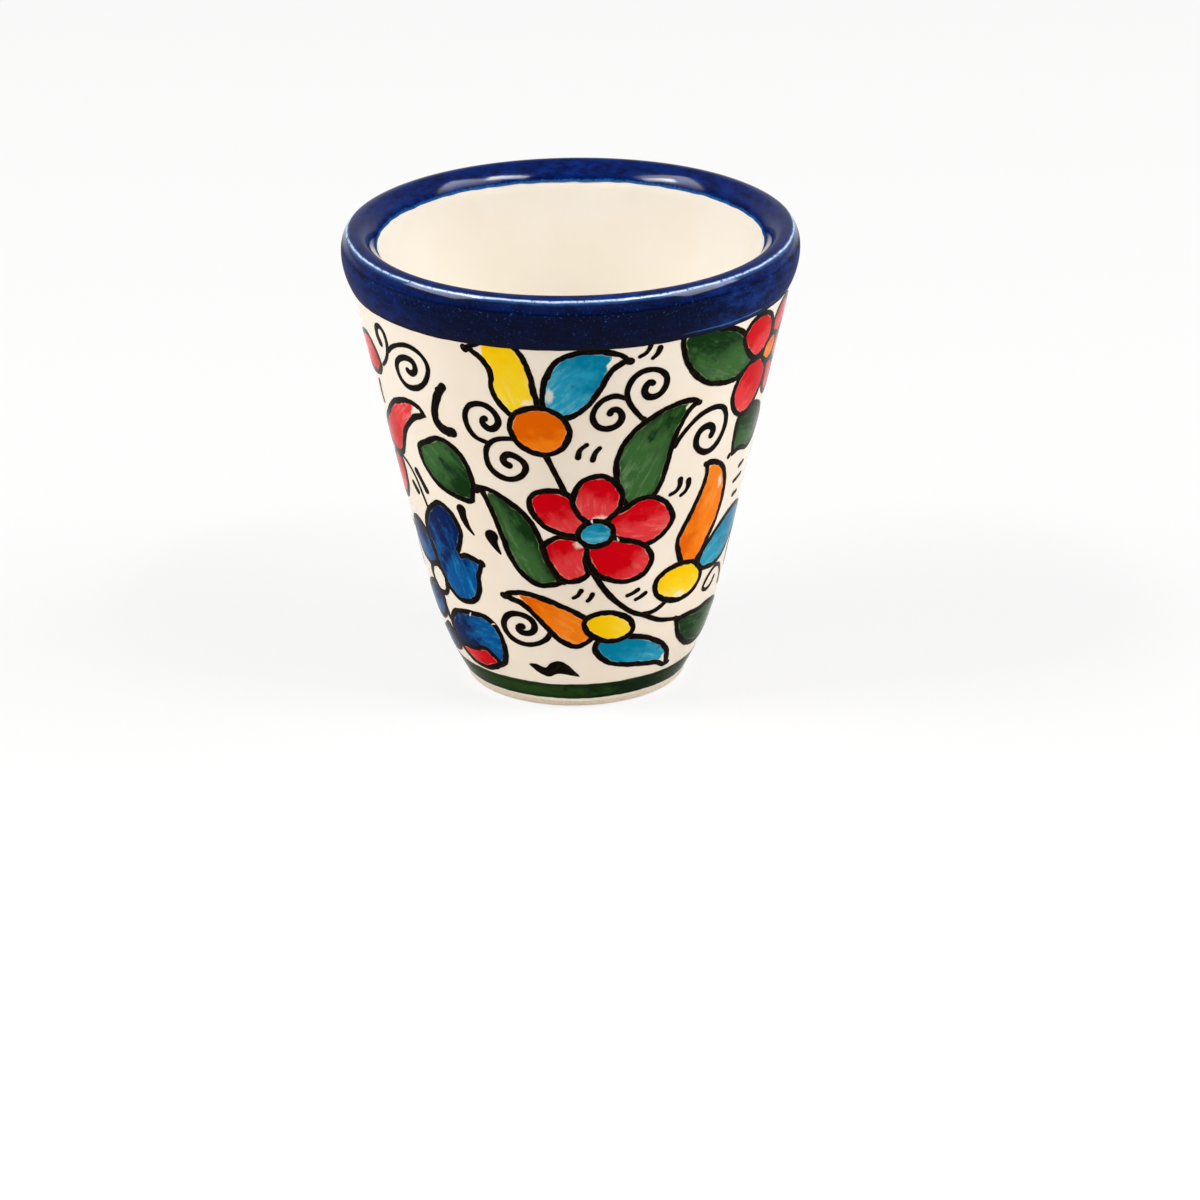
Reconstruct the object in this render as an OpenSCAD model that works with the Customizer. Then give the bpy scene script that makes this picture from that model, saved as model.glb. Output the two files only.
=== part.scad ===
/* [Cup] */
// Overall height, table to lip
cup_h = 64; // [56:0.5:76]
// Outer diameter at the lower edge of the rim band
wall_top_d = 59.4; // [54:0.2:66]
// Outer diameter where the straight wall ends and the heel begins
heel_d = 41; // [37:0.2:45]
// Height at which the heel begins
heel_h = 15.6; // [12:0.2:19]
// Sharpness of the heel's curve
heel_power = 2.4; // [1.8:0.1:3.2]
// Wall thickness, glaze to glaze
wall_t = 4.75; // [4:0.05:5.6]
// Thickness of the floor at the middle, from the table to the glaze
floor_t = 6; // [5:0.1:8]
// Radius of the corner between the well's wall and floor
well_r = 7; // [4:0.5:9]

/* [Foot] */
// Outer diameter of the foot on the table
foot_d = 29.2; // [26:0.2:32]
// Bevel at the foot's edge
foot_bevel = 0.2; // [0.1:0.1:0.8]
// Height of bare clay above the table
bare_h = 0.7; // [0.4:0.1:1.2]
// Diameter of the hollow under the foot
hollow_d = 21; // [16:0.5:24]
// Depth of the hollow under the foot
hollow_h = 1.4; // [0.8:0.1:2.4]
// Slope of the hollow's side, measured along the table
hollow_slope = 0.8; // [0.2:0.1:2]

/* [Rim] */
// Height of the blue band on the outside
band_h = 7.3; // [5:0.1:9]
// How far the band's belly stands out from its lower edge
belly_out = 1.15; // [0.8:0.05:1.6]
// How far the crisp edge over the belly stands out from the band's lower edge
arris_out = 0.3; // [0.1:0.05:0.6]
// How far the crisp edge lies below the top of the lip
arris_drop = 0.3; // [0.1:0.05:0.6]
// Width of the lip from the crisp edge to its crest
crest_in = 1.3; // [0.6:0.1:1.8]
// Width of the turn from the flat crest to the slope inside
brow_in = 0.5; // [0.2:0.05:0.8]
// Depth of the blue inside the lip
lip_in_h = 2.4; // [1.6:0.1:3.5]

/* [Coats] */
// Thickness of the glaze coats
glaze_t = 0.3; // [0.15:0.05:0.5]
// Thickness of the painted colours over the glaze
paint_t = 0.12; // [0.08:0.02:0.2]
// Gap between neighbouring brush marks
paint_gap = 0.06; // [0.03:0.01:0.12]

/* [Brushwork] */
// Width of the black line round petals and leaves
line_w = 0.85; // [0.6:0.05:1.1]
// Width of the stems
stem_w = 0.75; // [0.5:0.05:1]
// Width of the tendrils
tendril_w = 0.85; // [0.6:0.05:1.1]
// Width of the small dashes
dash_w = 0.75; // [0.5:0.05:1]
// Height of the green line's lower edge above the table
foot_line_z = 1.45; // [1.2:0.05:2.4]
// Height of the green line
foot_line_h = 2.65; // [1.6:0.05:3.2]

/* [Hidden] */

// Steps along the curved stretches of the section
heel_steps = 6;
band_steps = 6;
crest_steps = 3;
brow_steps = 5;
well_steps = 6;
turn_fn = 120;

// Outside of the cup: a straight slanted wall that curves in at the heel
band_z = cup_h - band_h;
wall_slope = (wall_top_d - heel_d) / 2 / (band_z - heel_h);
slant = sqrt(1 + wall_slope * wall_slope);
function wall_line(z) = heel_d / 2 + wall_slope * (z - heel_h);
function heel_in(z) = z < heel_h ? (wall_line(0) - foot_d / 2) * pow((heel_h - z) / heel_h, heel_power) : 0;
function wall_r(z) = wall_line(z) - heel_in(z);
wall_skin = [for (i = [0:heel_steps]) let (z = bare_h + (heel_h - bare_h) * i / heel_steps) [wall_r(z), z]];

// Rim band, from its lower edge over the belly to the crisp edge
function bezier(p, t) = len(p) == 1 ? p[0]
    : bezier([for (i = [0:len(p) - 2]) p[i] * (1 - t) + p[i + 1] * t], t);
function curve(p, steps, from = 0) = [for (i = [from:steps]) bezier(p, i / steps)];
band_foot = [wall_r(band_z), band_z];
arris = band_foot + [arris_out, band_h - arris_drop];
belly_pull = (8 * (band_foot[0] + belly_out) - band_foot[0] - arris[0]) / 6;
belly_lean = 0.25;
belly_low = 0.31;
belly_high = 0.75;
band_skin = curve([band_foot,
    [belly_pull - belly_lean, band_z + band_h * belly_low],
    [belly_pull + belly_lean, band_z + band_h * belly_high],
    arris], band_steps);

// Lip, from the crisp edge over the flat crest and straight down a slope to the lower edge of the blue inside
function well_line(z) = wall_line(z) - wall_t * slant;
crest = [arris[0] - crest_in, cup_h];
lip_edge = [well_line(cup_h - lip_in_h), cup_h - lip_in_h];
crest_skin = curve([arris, [(arris[0] + crest[0]) / 2, cup_h], crest], crest_steps, 1);
brow = [crest[0] - brow_in, cup_h];
slope_top = brow + brow_in * (lip_edge - brow) / norm(lip_edge - brow);
lip_skin = concat(curve([crest, brow, slope_top], brow_steps, 1), [lip_edge]);

// Well, straight down to a round corner and in to the middle of the floor
well_centre = [well_line(floor_t + well_r) - well_r * slant, floor_t + well_r];
well_skin = concat([for (i = [0:well_steps])
        let (a = -atan(wall_slope) * (1 - i / well_steps) - 90 * i / well_steps)
        well_centre + well_r * [cos(a), sin(a)]],
    [[0, floor_t]]);

// The glazed skin from foot to floor, and the clay under it
skin = concat(wall_skin, band_skin, crest_skin, lip_skin, well_skin);
last = len(skin) - 1;
band_at = len(wall_skin);
edge_at = last - len(well_skin);
function unit(v) = v / norm(v);
function run(i) = i == 0 ? [0, 1] : i == last ? [-1, 0]
    : unit(unit(skin[i + 1] - skin[i]) + unit(skin[i] - skin[i - 1]));
clay_skin = [for (i = [0:last]) skin[i] - glaze_t * [run(i)[1], -run(i)[0]]];

// Painting grid: u in degrees round the cup from the front, v from 0 at the green line to 100 at the band
paint_z = foot_line_z + foot_line_h;
v_rise = (band_z - paint_z) / 100;
v_mm = v_rise * slant;
function height(v) = paint_z + v * v_rise;
function u_mm(v) = wall_r(max(height(v), 0)) * PI / 180;
function flat(p, u0) = [for (q = p) [wall_r(max(height(q[1]), 0)) * sin(q[0] - u0), height(q[1])]];

// Smooth curves through hand-placed points; a third number on a point softens or sharpens its bend
function xy(q) = [q[0], q[1]];
function bend(q) = len(q) > 2 ? q[2] : 1;
function hermite(a, ta, b, tb, t) = a * (2 * pow(t, 3) - 3 * t * t + 1) + ta * (pow(t, 3) - 2 * t * t + t)
    + b * (3 * t * t - 2 * pow(t, 3)) + tb * (pow(t, 3) - t * t);
function around(p, i) = p[(i + len(p)) % len(p)];
function loop_run(p, i) = (xy(around(p, i + 1)) - xy(around(p, i - 1))) / 2 * bend(around(p, i));
function loop(p, steps) = [for (i = [0:len(p) - 1], k = [0:steps - 1])
    hermite(xy(p[i]), loop_run(p, i), xy(around(p, i + 1)), loop_run(p, i + 1), k / steps)];
function oval(u, v, half_u, half_v, tilt, sides) = [for (k = [0:sides - 1]) let (a = 360 * k / sides)
    [u + half_u * cos(a) * cos(tilt) - half_v * sin(a) * sin(tilt),
     v + half_u * cos(a) * sin(tilt) + half_v * sin(a) * cos(tilt)]];

// A brush stroke of given width along a path, with round ends
function heading(c, j) = let (d = c[min(j + 1, len(c) - 1)] - c[max(j - 1, 0)])
    atan2(d[1] * v_mm, d[0] * u_mm(c[j][1]));
function beside(c, j, turn, half) = let (a = heading(c, j) + turn)
    c[j] + half * [cos(a) / u_mm(c[j][1]), sin(a) / v_mm];
function stroke(c, w0, w1) = let (n = len(c) - 1) concat(
    [for (j = [0:n]) beside(c, j, 90, (w0 + (w1 - w0) * j / n) / 2)],
    [for (a = [45, 0, -45]) beside(c, n, a, w1 / 2)],
    [for (j = [n:-1:0]) beside(c, j, -90, (w0 + (w1 - w0) * j / n) / 2)],
    [for (a = [-135, 180, 135]) beside(c, 0, a, w0 / 2)]);

// Painted shapes by their outer edge, the nearest brush mark first: colour, then points or an oval
FLOWERS = [
    // Red flower with a turquoise centre
    ["turquoise", "oval", [7, 46.4, 6.8, 4.6, 0]],
    ["red", "loop", [[7, 64.3], [12.5, 62.4], [16, 57.5], [14, 51.6], [8, 48.5], [2.5, 50],
        [-1.5, 55.8], [1, 61.8]]],
    ["red", "loop", [[4.2, 43.5], [3, 39.5], [5.5, 35], [10.5, 32], [18, 30.6], [25, 31.8],
        [28.6, 36], [27, 40], [22.5, 43], [16, 44.9], [9, 46]]],
    ["red", "loop", [[-2, 59.2], [-8, 60.1], [-13, 58.7], [-15.2, 55], [-13, 50.5], [-8, 47],
        [0, 45.3], [5, 47.5], [3, 54]]],
    ["red", "loop", [[10, 51], [15.5, 54], [21, 56.3], [27, 55.8], [32, 52.6], [35, 48],
        [32.5, 44], [27, 41.2], [21, 41.5], [13, 44]]],
    ["red", "loop", [[-11.3, 43.4], [-5.5, 46.3], [2, 45.7], [5.2, 42], [4.5, 38], [5.6, 34.4],
        [1.5, 31.8], [-4, 31.9], [-8, 34.8], [-10.8, 39.4]]],
    // Red flower with an orange centre, under the band at the right
    ["orange", "oval", [70, 86.8, 6, 4.3, 0]],
    ["red", "loop", [[51, 95.2], [53.5, 98.8], [58, 100.3], [64, 98.8], [68.3, 94.5],
        [67.5, 88.5], [62, 86.4], [57.5, 86.9], [53, 91]]],
    ["red", "loop", [[50.7, 79], [52.5, 83.5], [57, 86.6], [64, 87], [69.5, 83], [70.5, 78],
        [67, 73.2], [60.5, 70.4], [54.5, 72.4], [51.6, 75.6]]],
    ["red", "loop", [[68, 93], [69.5, 97.4], [74, 99.6], [80, 98.8], [83.5, 95], [80, 90.6], [72, 88]]],
    ["red", "loop", [[73, 86.5], [78.5, 90], [84.5, 90], [88, 85.5], [86, 80.5], [80.5, 79],
        [74.5, 82]]],
    ["red", "loop", [[70, 83], [69.8, 78], [71.5, 74], [76, 72], [80.5, 74], [81, 78.5], [77.5, 82.5]]],
    // Blue flower with a bare heart, at the left
    ["bare", "oval", [-62.2, 24.7, 6.8, 4.9, 0]],
    ["blue", "loop", [[-33.4, 35.3, 0.1], [-36, 30.5], [-36.6, 26.5], [-39.5, 22.8], [-45, 20.8],
        [-51, 21], [-56.5, 23.8], [-60, 29], [-61, 33.5], [-63.2, 38.6], [-60.5, 44],
        [-54.8, 48.3], [-49.5, 50.4], [-44, 48.5], [-40.8, 43.5], [-42.4, 38.6], [-44.6, 35.9, 0.1],
        [-40.5, 36.9]]],
    ["blue", "loop", [[-59, 31.5], [-62.5, 38.5], [-69, 41], [-75, 39.6], [-79, 35], [-76, 29.6],
        [-69, 27.4], [-62.5, 27.5]]],
    ["blue", "loop", [[-62, 21], [-61.8, 16.5], [-65, 12.8], [-72, 10.8], [-79, 12.5], [-81, 17],
        [-75, 21.5], [-67, 23]]],
    // Blue petal with a red one folded under it
    ["red", "loop", [[-61, 5.5], [-56, 7.4], [-49.5, 7.4], [-43.5, 8.7], [-39, 8], [-33.6, 4.3, 0.3],
        [-38.5, 1.8], [-46, 0.7], [-55, 1.6]]],
    ["blue", "loop", [[-62.7, 11.8], [-57, 16.8], [-50, 18.5], [-43, 19.2], [-36.6, 19], [-32, 16.4],
        [-29.6, 10.6], [-31.4, 4.8], [-40, 2], [-50, 2.5], [-60, 6]]],
    ["blue", "loop", [[-62, 8.5], [-66, 11.2], [-72, 9.2], [-80, 6.6], [-85, 3.2, 0.3], [-76, 1.6],
        [-66, 2.4], [-61, 4.5]]],
    // Red hooked petals at the left
    ["red", "loop", [[-46.7, 75, 0.3], [-49.3, 77.8], [-55, 78.4], [-63, 76], [-71, 71],
        [-78.5, 66], [-82, 61.5], [-77, 58], [-67.5, 58.6], [-63.5, 61.8], [-59.2, 67.4],
        [-53.5, 71.9]]],
    ["red", "loop", [[-69.5, 58], [-68.3, 53.5], [-71, 47.5], [-77, 44], [-83, 46.5], [-82.5, 53],
        [-77, 58]]],
    ["red", "loop", [[-65.5, 84, 0.3], [-67.5, 88.6], [-72.5, 91.8], [-79, 90.6], [-86, 87.5],
        [-88.5, 83.5], [-83, 80.3], [-75, 79.6], [-69, 80.8]]]];
SPRIGS = [
    // Orange heart with its yellow and turquoise petals
    ["orange", "oval", [-9.5, 76.7, 9.4, 7.5, -8]],
    ["yellow", "loop", [[-29.2, 98.9, 0.2], [-24, 101.6], [-17, 102.6], [-13.2, 99.6], [-11, 95],
        [-9.6, 88.5], [-9.2, 83], [-14, 79], [-19.5, 81.6], [-22.8, 87], [-22.8, 92],
        [-24.8, 95.8]]],
    ["turquoise", "loop", [[15.6, 96.2, 0.2], [11, 93.4], [7.3, 87], [3, 82.2], [-2, 79.8],
        [-8, 80.5], [-9, 85.5], [-8, 92], [-4.5, 97.5], [1, 100], [8, 100.3], [13, 98.6]]],
    // Yellow heart with orange and turquoise petals, low at the front
    ["yellow", "oval", [13, 18, 11, 5.1, -7]],
    ["orange", "loop", [[-27.9, 26.4, 0.4], [-25.3, 28.2], [-19, 28.9], [-11, 27.6], [-3, 24.9],
        [4.6, 21.7], [9, 17.5], [6.5, 14], [1, 11.8], [-5, 12.8], [-10.5, 16.3], [-16, 21],
        [-21, 24.2], [-25.3, 25.2]]],
    ["turquoise", "loop", [[46.2, 1.9, 0.2], [43.5, 7], [38, 10.6], [31, 13.3], [23.5, 15], [15, 16],
        [8.5, 14.6], [6.4, 11.8], [8.5, 8.5], [14, 5.9], [22, 4.5], [31, 3.6], [38, 2.8], [43, 1.3]]],
    // Yellow heart with orange and turquoise petals, at the right
    ["yellow", "oval", [41.8, 27.5, 12.7, 6.2, -4]],
    ["orange", "loop", [[44.2, 61.3, 0.3], [46.3, 62], [51, 60.7], [56, 57], [58.6, 50.5],
        [57.5, 43], [53.5, 36.5], [48, 31], [42, 31], [37.8, 36], [36.7, 41], [39.5, 46],
        [43, 52], [45, 57.5]]],
    ["turquoise", "loop", [[85, 38, 0.2], [79, 33], [72, 29], [64, 27.2], [56, 27.6],
        [49.5, 29.5], [50, 33.5], [55, 37.6], [61, 41], [68, 43], [77, 42.3]]]];
LEAVES = [
    // Leaves beside the red flower
    ["green", "loop", [[38.3, 80.6, 0.2], [35, 82.6], [28, 82], [20, 78.6], [14.5, 73.5],
        [11.8, 67], [12.5, 60], [16, 54], [24, 53.5], [28.5, 59], [30.3, 66], [31.5, 71.5],
        [34.4, 77.6]]],
    ["green", "loop", [[-32, 58.8, 0.2], [-27, 58.6], [-21, 56.2], [-15.2, 52.2], [-11.5, 47],
        [-9, 40.4], [-6.5, 35.2], [-3.4, 32, 0.4], [-8, 30.4], [-14.5, 30.6], [-20, 34],
        [-24, 39.5], [-26.3, 46.5], [-29.2, 54]]],
    ["green", "loop", [[-31.8, 58.6, 0.3], [-32.8, 63.5], [-36.4, 68.4], [-43, 70.5],
        [-49.4, 68.3], [-54.7, 65], [-53.5, 59.5], [-48, 54.8], [-40.5, 52.9], [-34, 52.8]]],
    // Leaves under the flower and the heart at the right
    ["green", "loop", [[29, 102, 0.3], [29, 97.5], [31, 92.5], [34.5, 88], [40, 84.6], [47, 83],
        [53, 83.2], [59, 87, 0.4], [54.5, 93.5], [51, 97.5], [45, 100.4], [37, 102]]],
    ["green", "loop", [[82, 64, 0.2], [76, 59.5], [69, 58.6], [63, 60], [57.9, 59.6, 0.3],
        [56.3, 66], [57.6, 72], [66, 73], [75, 70]]],
    ["green", "loop", [[86, 9.5, 0.2], [78, 5.6], [68, 4.2], [58, 4.8], [50, 7.5], [45, 11.2],
        [42.6, 16, 0.3], [48, 16.8], [57, 16.6], [66, 16.8], [77, 14.8]]]];
// Wave stroke over the green line
WAVES = [
    ["black", "loop", [[-20.8, 6, 0.4], [-17.8, 6.4], [-13.5, 5.4], [-11, 7], [-7.3, 7.7],
        [-3.3, 6.4], [1.6, 2.6, 0.3], [-3, 3.1], [-8, 3.6], [-12, 2.4], [-16, 3.2]]]];

// Brush strokes by their middle line: kind, points, and how wide each end is against the kind's width
STROKES = [
    ["stem", [[-8.4, 70.4], [-6.6, 66.6], [-4.6, 62.6], [-2.6, 58.6]], 1.3, 1],
    ["stem", [[6.2, 35], [9.2, 31], [13, 27.2], [17.5, 24], [22, 21.6], [27, 20], [34, 17.6], [40, 16.6],
        [45, 16]], 1.2, 0.9],
    ["stem", [[26, 20.6], [30, 20.5], [33.3, 21.3], [37, 23]], 0.8, 1.1],
    ["stem", [[-69.5, 58.6], [-64.5, 57], [-61, 54], [-58.8, 49.6], [-57, 45.5]], 0.7, 0.8],
    ["stem", [[-64, 20.6], [-62.8, 17.4], [-62.3, 13]], 1, 1],
    ["tendril", [[-17.2, 74], [-21.5, 73.5], [-24.2, 72.3], [-26, 70.2], [-26.5, 67.5],
        [-25.8, 64.8], [-23.5, 62.8], [-20.4, 61.9], [-17.6, 62.3], [-15.4, 63.6], [-14.3, 65.5],
        [-14.8, 67.2], [-16.5, 68.5], [-18.5, 69.2], [-20.2, 68.9], [-21.1, 67.7], [-20.6, 66.5],
        [-19.4, 66]], 0.9, 1.2],
    ["tendril", [[-25.2, 71.8], [-29.2, 73], [-31.3, 75.7], [-31.6, 79], [-30, 81.7],
        [-27.3, 82.9], [-24.5, 82.7], [-22.3, 81.1], [-21.3, 79], [-21.7, 77.4], [-23.2, 76.2],
        [-24.8, 76.2], [-26.1, 77.3], [-26.1, 78.4], [-25.3, 78.9]], 0.9, 1.2],
    ["tendril", [[20, 78.6], [16.9, 82.1], [15.3, 84.6], [14.7, 86.8], [15, 88.8], [16.2, 91.1],
        [18.5, 92.7], [21.2, 93], [23.8, 92.2], [25.6, 90.4], [25.8, 88], [24.6, 85.9],
        [22.7, 85], [20.7, 85.3], [19.6, 86.7], [19.9, 88.4], [21, 89.4], [21.8, 89]], 0.9, 1.2],
    ["tendril", [[14.4, 85.6], [11.6, 86.5], [9.2, 86], [7.4, 84.9], [5.9, 82.9], [5.4, 80.6],
        [6.4, 78.4], [8.4, 77.3], [10.7, 77.3], [12.6, 78.2], [13.6, 79.9], [13.2, 81.6],
        [12, 82.6], [10.7, 82.4], [10.2, 81.6]], 0.9, 1.2],
    ["tendril", [[31, 69.2], [32.8, 71.8], [35.8, 74.6], [38.8, 76.5], [42.6, 77.4], [46, 77.2],
        [48.6, 75.9], [50.2, 73.2], [50.3, 70], [48.8, 67], [46.4, 65.2], [43.6, 64.8],
        [40.8, 65.9], [39, 67.8], [38.8, 70.2], [40, 71.9], [42.3, 72.6], [44.4, 71.9],
        [45.2, 70.4], [44.7, 69.4]], 0.9, 1.3],
    ["tendril", [[-9.8, 16.6], [-11.7, 14.6], [-15.4, 13], [-20, 12.3], [-24, 12.8], [-27.2, 14.2],
        [-29, 16.5], [-28.7, 18.7], [-26.7, 20.6], [-23.6, 21.5], [-20.2, 21.3], [-17.4, 20.3],
        [-16.1, 18.6], [-16.7, 16.8], [-18.9, 15.9], [-21.3, 15.9], [-22.7, 16.7], [-22.4, 17.7],
        [-21.2, 17.8]], 0.9, 1.2],
    ["tendril", [[74.5, 19.5], [73.4, 22.6], [69.6, 25.6], [65, 26.5], [61, 25.3], [58.2, 23.3],
        [57.6, 21.7], [60.5, 20.8], [64, 21.4], [66.2, 23.2]], 0.8, 0.7],
    ["tendril", [[-58.6, 90.5], [-56.2, 92.3], [-53, 93.8], [-49.2, 94.8], [-45.8, 94.5],
        [-43.3, 93.1], [-42, 90.9], [-42.4, 88.4], [-44.3, 85.5], [-47.2, 83.4], [-50.4, 82.4],
        [-53.1, 82.5], [-55.2, 84], [-55.9, 86.4], [-55, 88.6], [-52.4, 90.4], [-49.6, 91],
        [-47.6, 90.4], [-47.1, 88.8], [-48, 87.4], [-49.6, 86.8], [-50.6, 87.3]], 0.8, 1.2],
    ["tendril", [[-64.6, 84.9], [-62.3, 86.5], [-60.3, 88.6], [-59, 90.9], [-58.5, 93.5],
        [-59.1, 95.8], [-61, 96.8], [-62.9, 95.8], [-63.4, 93.6], [-62.5, 91.6]], 0.6, 1.3],
    ["tendril", [[96, 34.6], [91.5, 35.2], [86.2, 34.4], [81.6, 31], [80.6, 26.6], [84, 22.4],
        [89.6, 21.4], [94, 23.6], [95, 27.2], [92.4, 30.2], [88.4, 30], [86.6, 27.4],
        [88.8, 25.6]], 0.8, 1.2],
    ["dash", [[3.8, 72.8], [1.9, 71.3], [1.3, 69.2]], 0.9, 1.1],
    ["dash", [[7.6, 71.7], [6.3, 70.3], [5.6, 68.3]], 0.9, 1.1],
    ["dash", [[20.6, 101.5], [20.1, 99.4], [19.2, 98], [17.5, 97.1]], 1, 0.8],
    ["dash", [[23, 98.9], [22.4, 97.4], [21.1, 96.2]], 1.2, 0.8],
    ["dash", [[34.8, 58.8], [34.9, 57.1], [33.7, 55.6], [31.7, 55]], 1.2, 0.8],
    ["dash", [[38.2, 57.9], [38.4, 56.4], [37.5, 54.8], [35.9, 54]], 1.2, 0.8],
    ["dash", [[2.1, 29.5], [0.9, 28.1], [-0.7, 27.4]], 1, 0.7],
    ["dash", [[6.2, 28.3], [5.5, 27.2], [4.5, 26.4]], 1, 0.8],
    ["dash", [[19.3, 26.9], [21.4, 27.4], [23.4, 28.2]], 0.8, 0.9],
    ["dash", [[22.8, 25.3], [24.7, 25.9], [26.6, 26.8]], 0.8, 0.9],
    ["dash", [[-59.2, 56.4], [-57.2, 54], [-55.5, 51.7]], 1.4, 1.3],
    ["dash", [[-64, 51.6], [-62, 49.8]], 1.3, 1.3],
    ["dash", [[66.8, 54.5], [69.8, 55]], 1, 0.8],
    ["dash", [[64.6, 50.7], [67.5, 51], [70.6, 51.4]], 0.9, 0.7],
    ["dash", [[66.8, 46.3], [70, 46.5]], 1, 0.8],
    ["dash", [[-73.2, 77.8], [-74.3, 74.8], [-74.2, 71.8]], 1.1, 0.9],
    ["dash", [[-39.4, 50], [-39, 47.6], [-37.8, 45.2], [-35.9, 43.3]], 2.2, 0.5],
    ["dash", [[-28.7, 44], [-28.3, 42.3], [-27.3, 40.6], [-26.2, 39.2]], 2.6, 0.5],
    ["dash", [[87.4, 54.6], [87.9, 52.2], [89.2, 49.8], [90.8, 48]], 1.9, 0.4],
    ["dash", [[92.6, 59], [92.9, 56.8], [93.9, 54.6], [95.4, 53]], 1.9, 0.4],
    ["dash", [[92.4, 76.6], [90.2, 73.8], [88.4, 70.4], [88.2, 67.4], [89.8, 65.4], [92, 64.8]], 0.8, 1.6],
    ["dash", [[88.6, 16.4], [90.6, 15.2], [91.8, 13.4]], 1, 0.8],
    ["dash", [[92, 18], [94.2, 16.8], [95.6, 15]], 1, 0.8],
    ["dash", [[-37.8, 85.8], [-39.6, 83.8], [-41.4, 80.8], [-42.6, 77.8], [-42.7, 75.2],
        [-41.2, 73.4], [-39.2, 72.8], [-37.2, 72.8]], 1.6, 2]];

// Outlines of every brush mark on the grid, shapes before strokes
SHAPES = concat(FLOWERS, SPRIGS, LEAVES, WAVES);
sprigs_at = len(FLOWERS);
leaves_at = sprigs_at + len(SPRIGS);
waves_at = leaves_at + len(LEAVES);
strokes_at = len(SHAPES);
loop_steps = 2;
oval_sides = 20;
function shape_loop(s) = s[1] == "oval"
    ? oval(s[2][0], s[2][1], s[2][2], s[2][3], s[2][4], oval_sides) : loop(s[2], loop_steps);
function kind_w(kind) = kind == "stem" ? stem_w : kind == "tendril" ? tendril_w : dash_w;
function stroke_loop(s) = stroke(s[1], s[2] * kind_w(s[0]), s[3] * kind_w(s[0]));
MARKS = concat([for (s = SHAPES) shape_loop(s)], [for (s = STROKES) stroke_loop(s)]);
BOXES = [for (m = MARKS) let (u = [for (q = m) q[0]], v = [for (q = m) q[1]])
    [min(u), max(u), min(v), max(v)]];
function meet(a, b) = a[0] < b[1] && b[0] < a[1] && a[2] < b[3] && b[2] < a[3];
function middle(i) = (BOXES[i][0] + BOXES[i][1]) / 2;

// The painting is repeated on both faces of the cup
faces = [0, 180];
panel_near = foot_d / 4;
panel_far = wall_top_d / 2 + belly_out;
sliver = paint_gap;

module turned(section) {
    rotate_extrude($fn = turn_fn) polygon(section);
}

// A glaze coat over the skin between two of its points
module coat(from, to) {
    turned(concat([for (i = [from:to]) skin[i]], [for (i = [to:-1:from]) clay_skin[i]]));
}

// The paint's own thickness over the wall, between the bends of the section that hold two heights
paint_out = [paint_t, 0];
paint_base = concat(wall_skin, [band_foot]);
paint_top = len(paint_base) - 1;
function bend_below(z) = max([for (i = [0:paint_top]) if (i == 0 || paint_base[i][1] <= z) i]);
function bend_above(z) = min([for (i = [0:paint_top]) if (i == paint_top || paint_base[i][1] >= z) i]);
function paint_section(z0, z1) = let (a = bend_below(z0), b = bend_above(z1))
    concat([for (i = [a:b]) paint_base[i]], [for (i = [b:-1:a]) paint_base[i] + paint_out]);

module mark(i, u0) {
    polygon(flat(MARKS[i], u0));
}

// Lays a flat brush mark on the wall, clear of the marks that lie over it
module painted(i) {
    u0 = middle(i);
    for (face = faces)
        intersection() {
            rotate([0, 0, u0 + face]) rotate([90, 0, 0]) translate([0, 0, panel_near])
                linear_extrude(panel_far - panel_near)
                    offset(delta = sliver) offset(delta = -sliver) difference() {
                        children();
                        for (j = [0:1:i - 1])
                            if (meet(BOXES[i], BOXES[j])) offset(delta = paint_gap) mark(j, u0);
                    }
            turned(paint_section(height(BOXES[i][2]), height(BOXES[i][3])));
        }
}

module fills(colour) {
    for (i = [0:strokes_at - 1])
        if (SHAPES[i][0] == colour)
            painted(i) offset(delta = -line_w - paint_gap) mark(i, middle(i));
}

module outlines(from, to) {
    for (i = [from:to - 1])
        painted(i) difference() {
            mark(i, middle(i));
            offset(delta = -line_w) mark(i, middle(i));
        }
}

module strokes(kind) {
    for (k = [0:len(STROKES) - 1])
        if (STROKES[k][0] == kind)
            painted(strokes_at + k) mark(strokes_at + k, middle(strokes_at + k));
}

module clay_body() {
    color("tan") turned(concat(
        [[0, hollow_h], [hollow_d / 2 - hollow_slope, hollow_h], [hollow_d / 2, 0],
         [foot_d / 2 - foot_bevel, 0], skin[0]],
        clay_skin));
}

module liner_glaze() {
    color("linen") coat(edge_at, last);
}

module outer_glaze() {
    color("antiquewhite") coat(0, band_at);
}

module rim_glaze() {
    color("midnightblue") coat(band_at, edge_at);
}

module foot_line() {
    color("darkolivegreen") rotate_extrude($fn = turn_fn) intersection() {
        polygon(paint_section(foot_line_z, paint_z));
        translate([0, foot_line_z]) square([wall_top_d / 2, foot_line_h]);
    }
}

module red_petals() {
    color("crimson") fills("red");
}

module orange_petals() {
    color("darkorange") fills("orange");
}

module yellow_petals() {
    color("gold") fills("yellow");
}

module turquoise_petals() {
    color("darkcyan") fills("turquoise");
}

module blue_petals() {
    color("mediumblue") fills("blue");
}

module green_leaves() {
    color("darkgreen") fills("green");
}

module flower_outlines() {
    color("black") outlines(0, sprigs_at);
}

module sprig_outlines() {
    color("black") outlines(sprigs_at, leaves_at);
}

module leaf_outlines() {
    color("black") outlines(leaves_at, waves_at);
}

module stems() {
    color("black") strokes("stem");
}

module tendrils() {
    color("black") strokes("tendril");
}

module dashes() {
    color("black") {
        strokes("dash");
        for (i = [waves_at:strokes_at - 1]) painted(i) mark(i, middle(i));
    }
}

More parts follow.
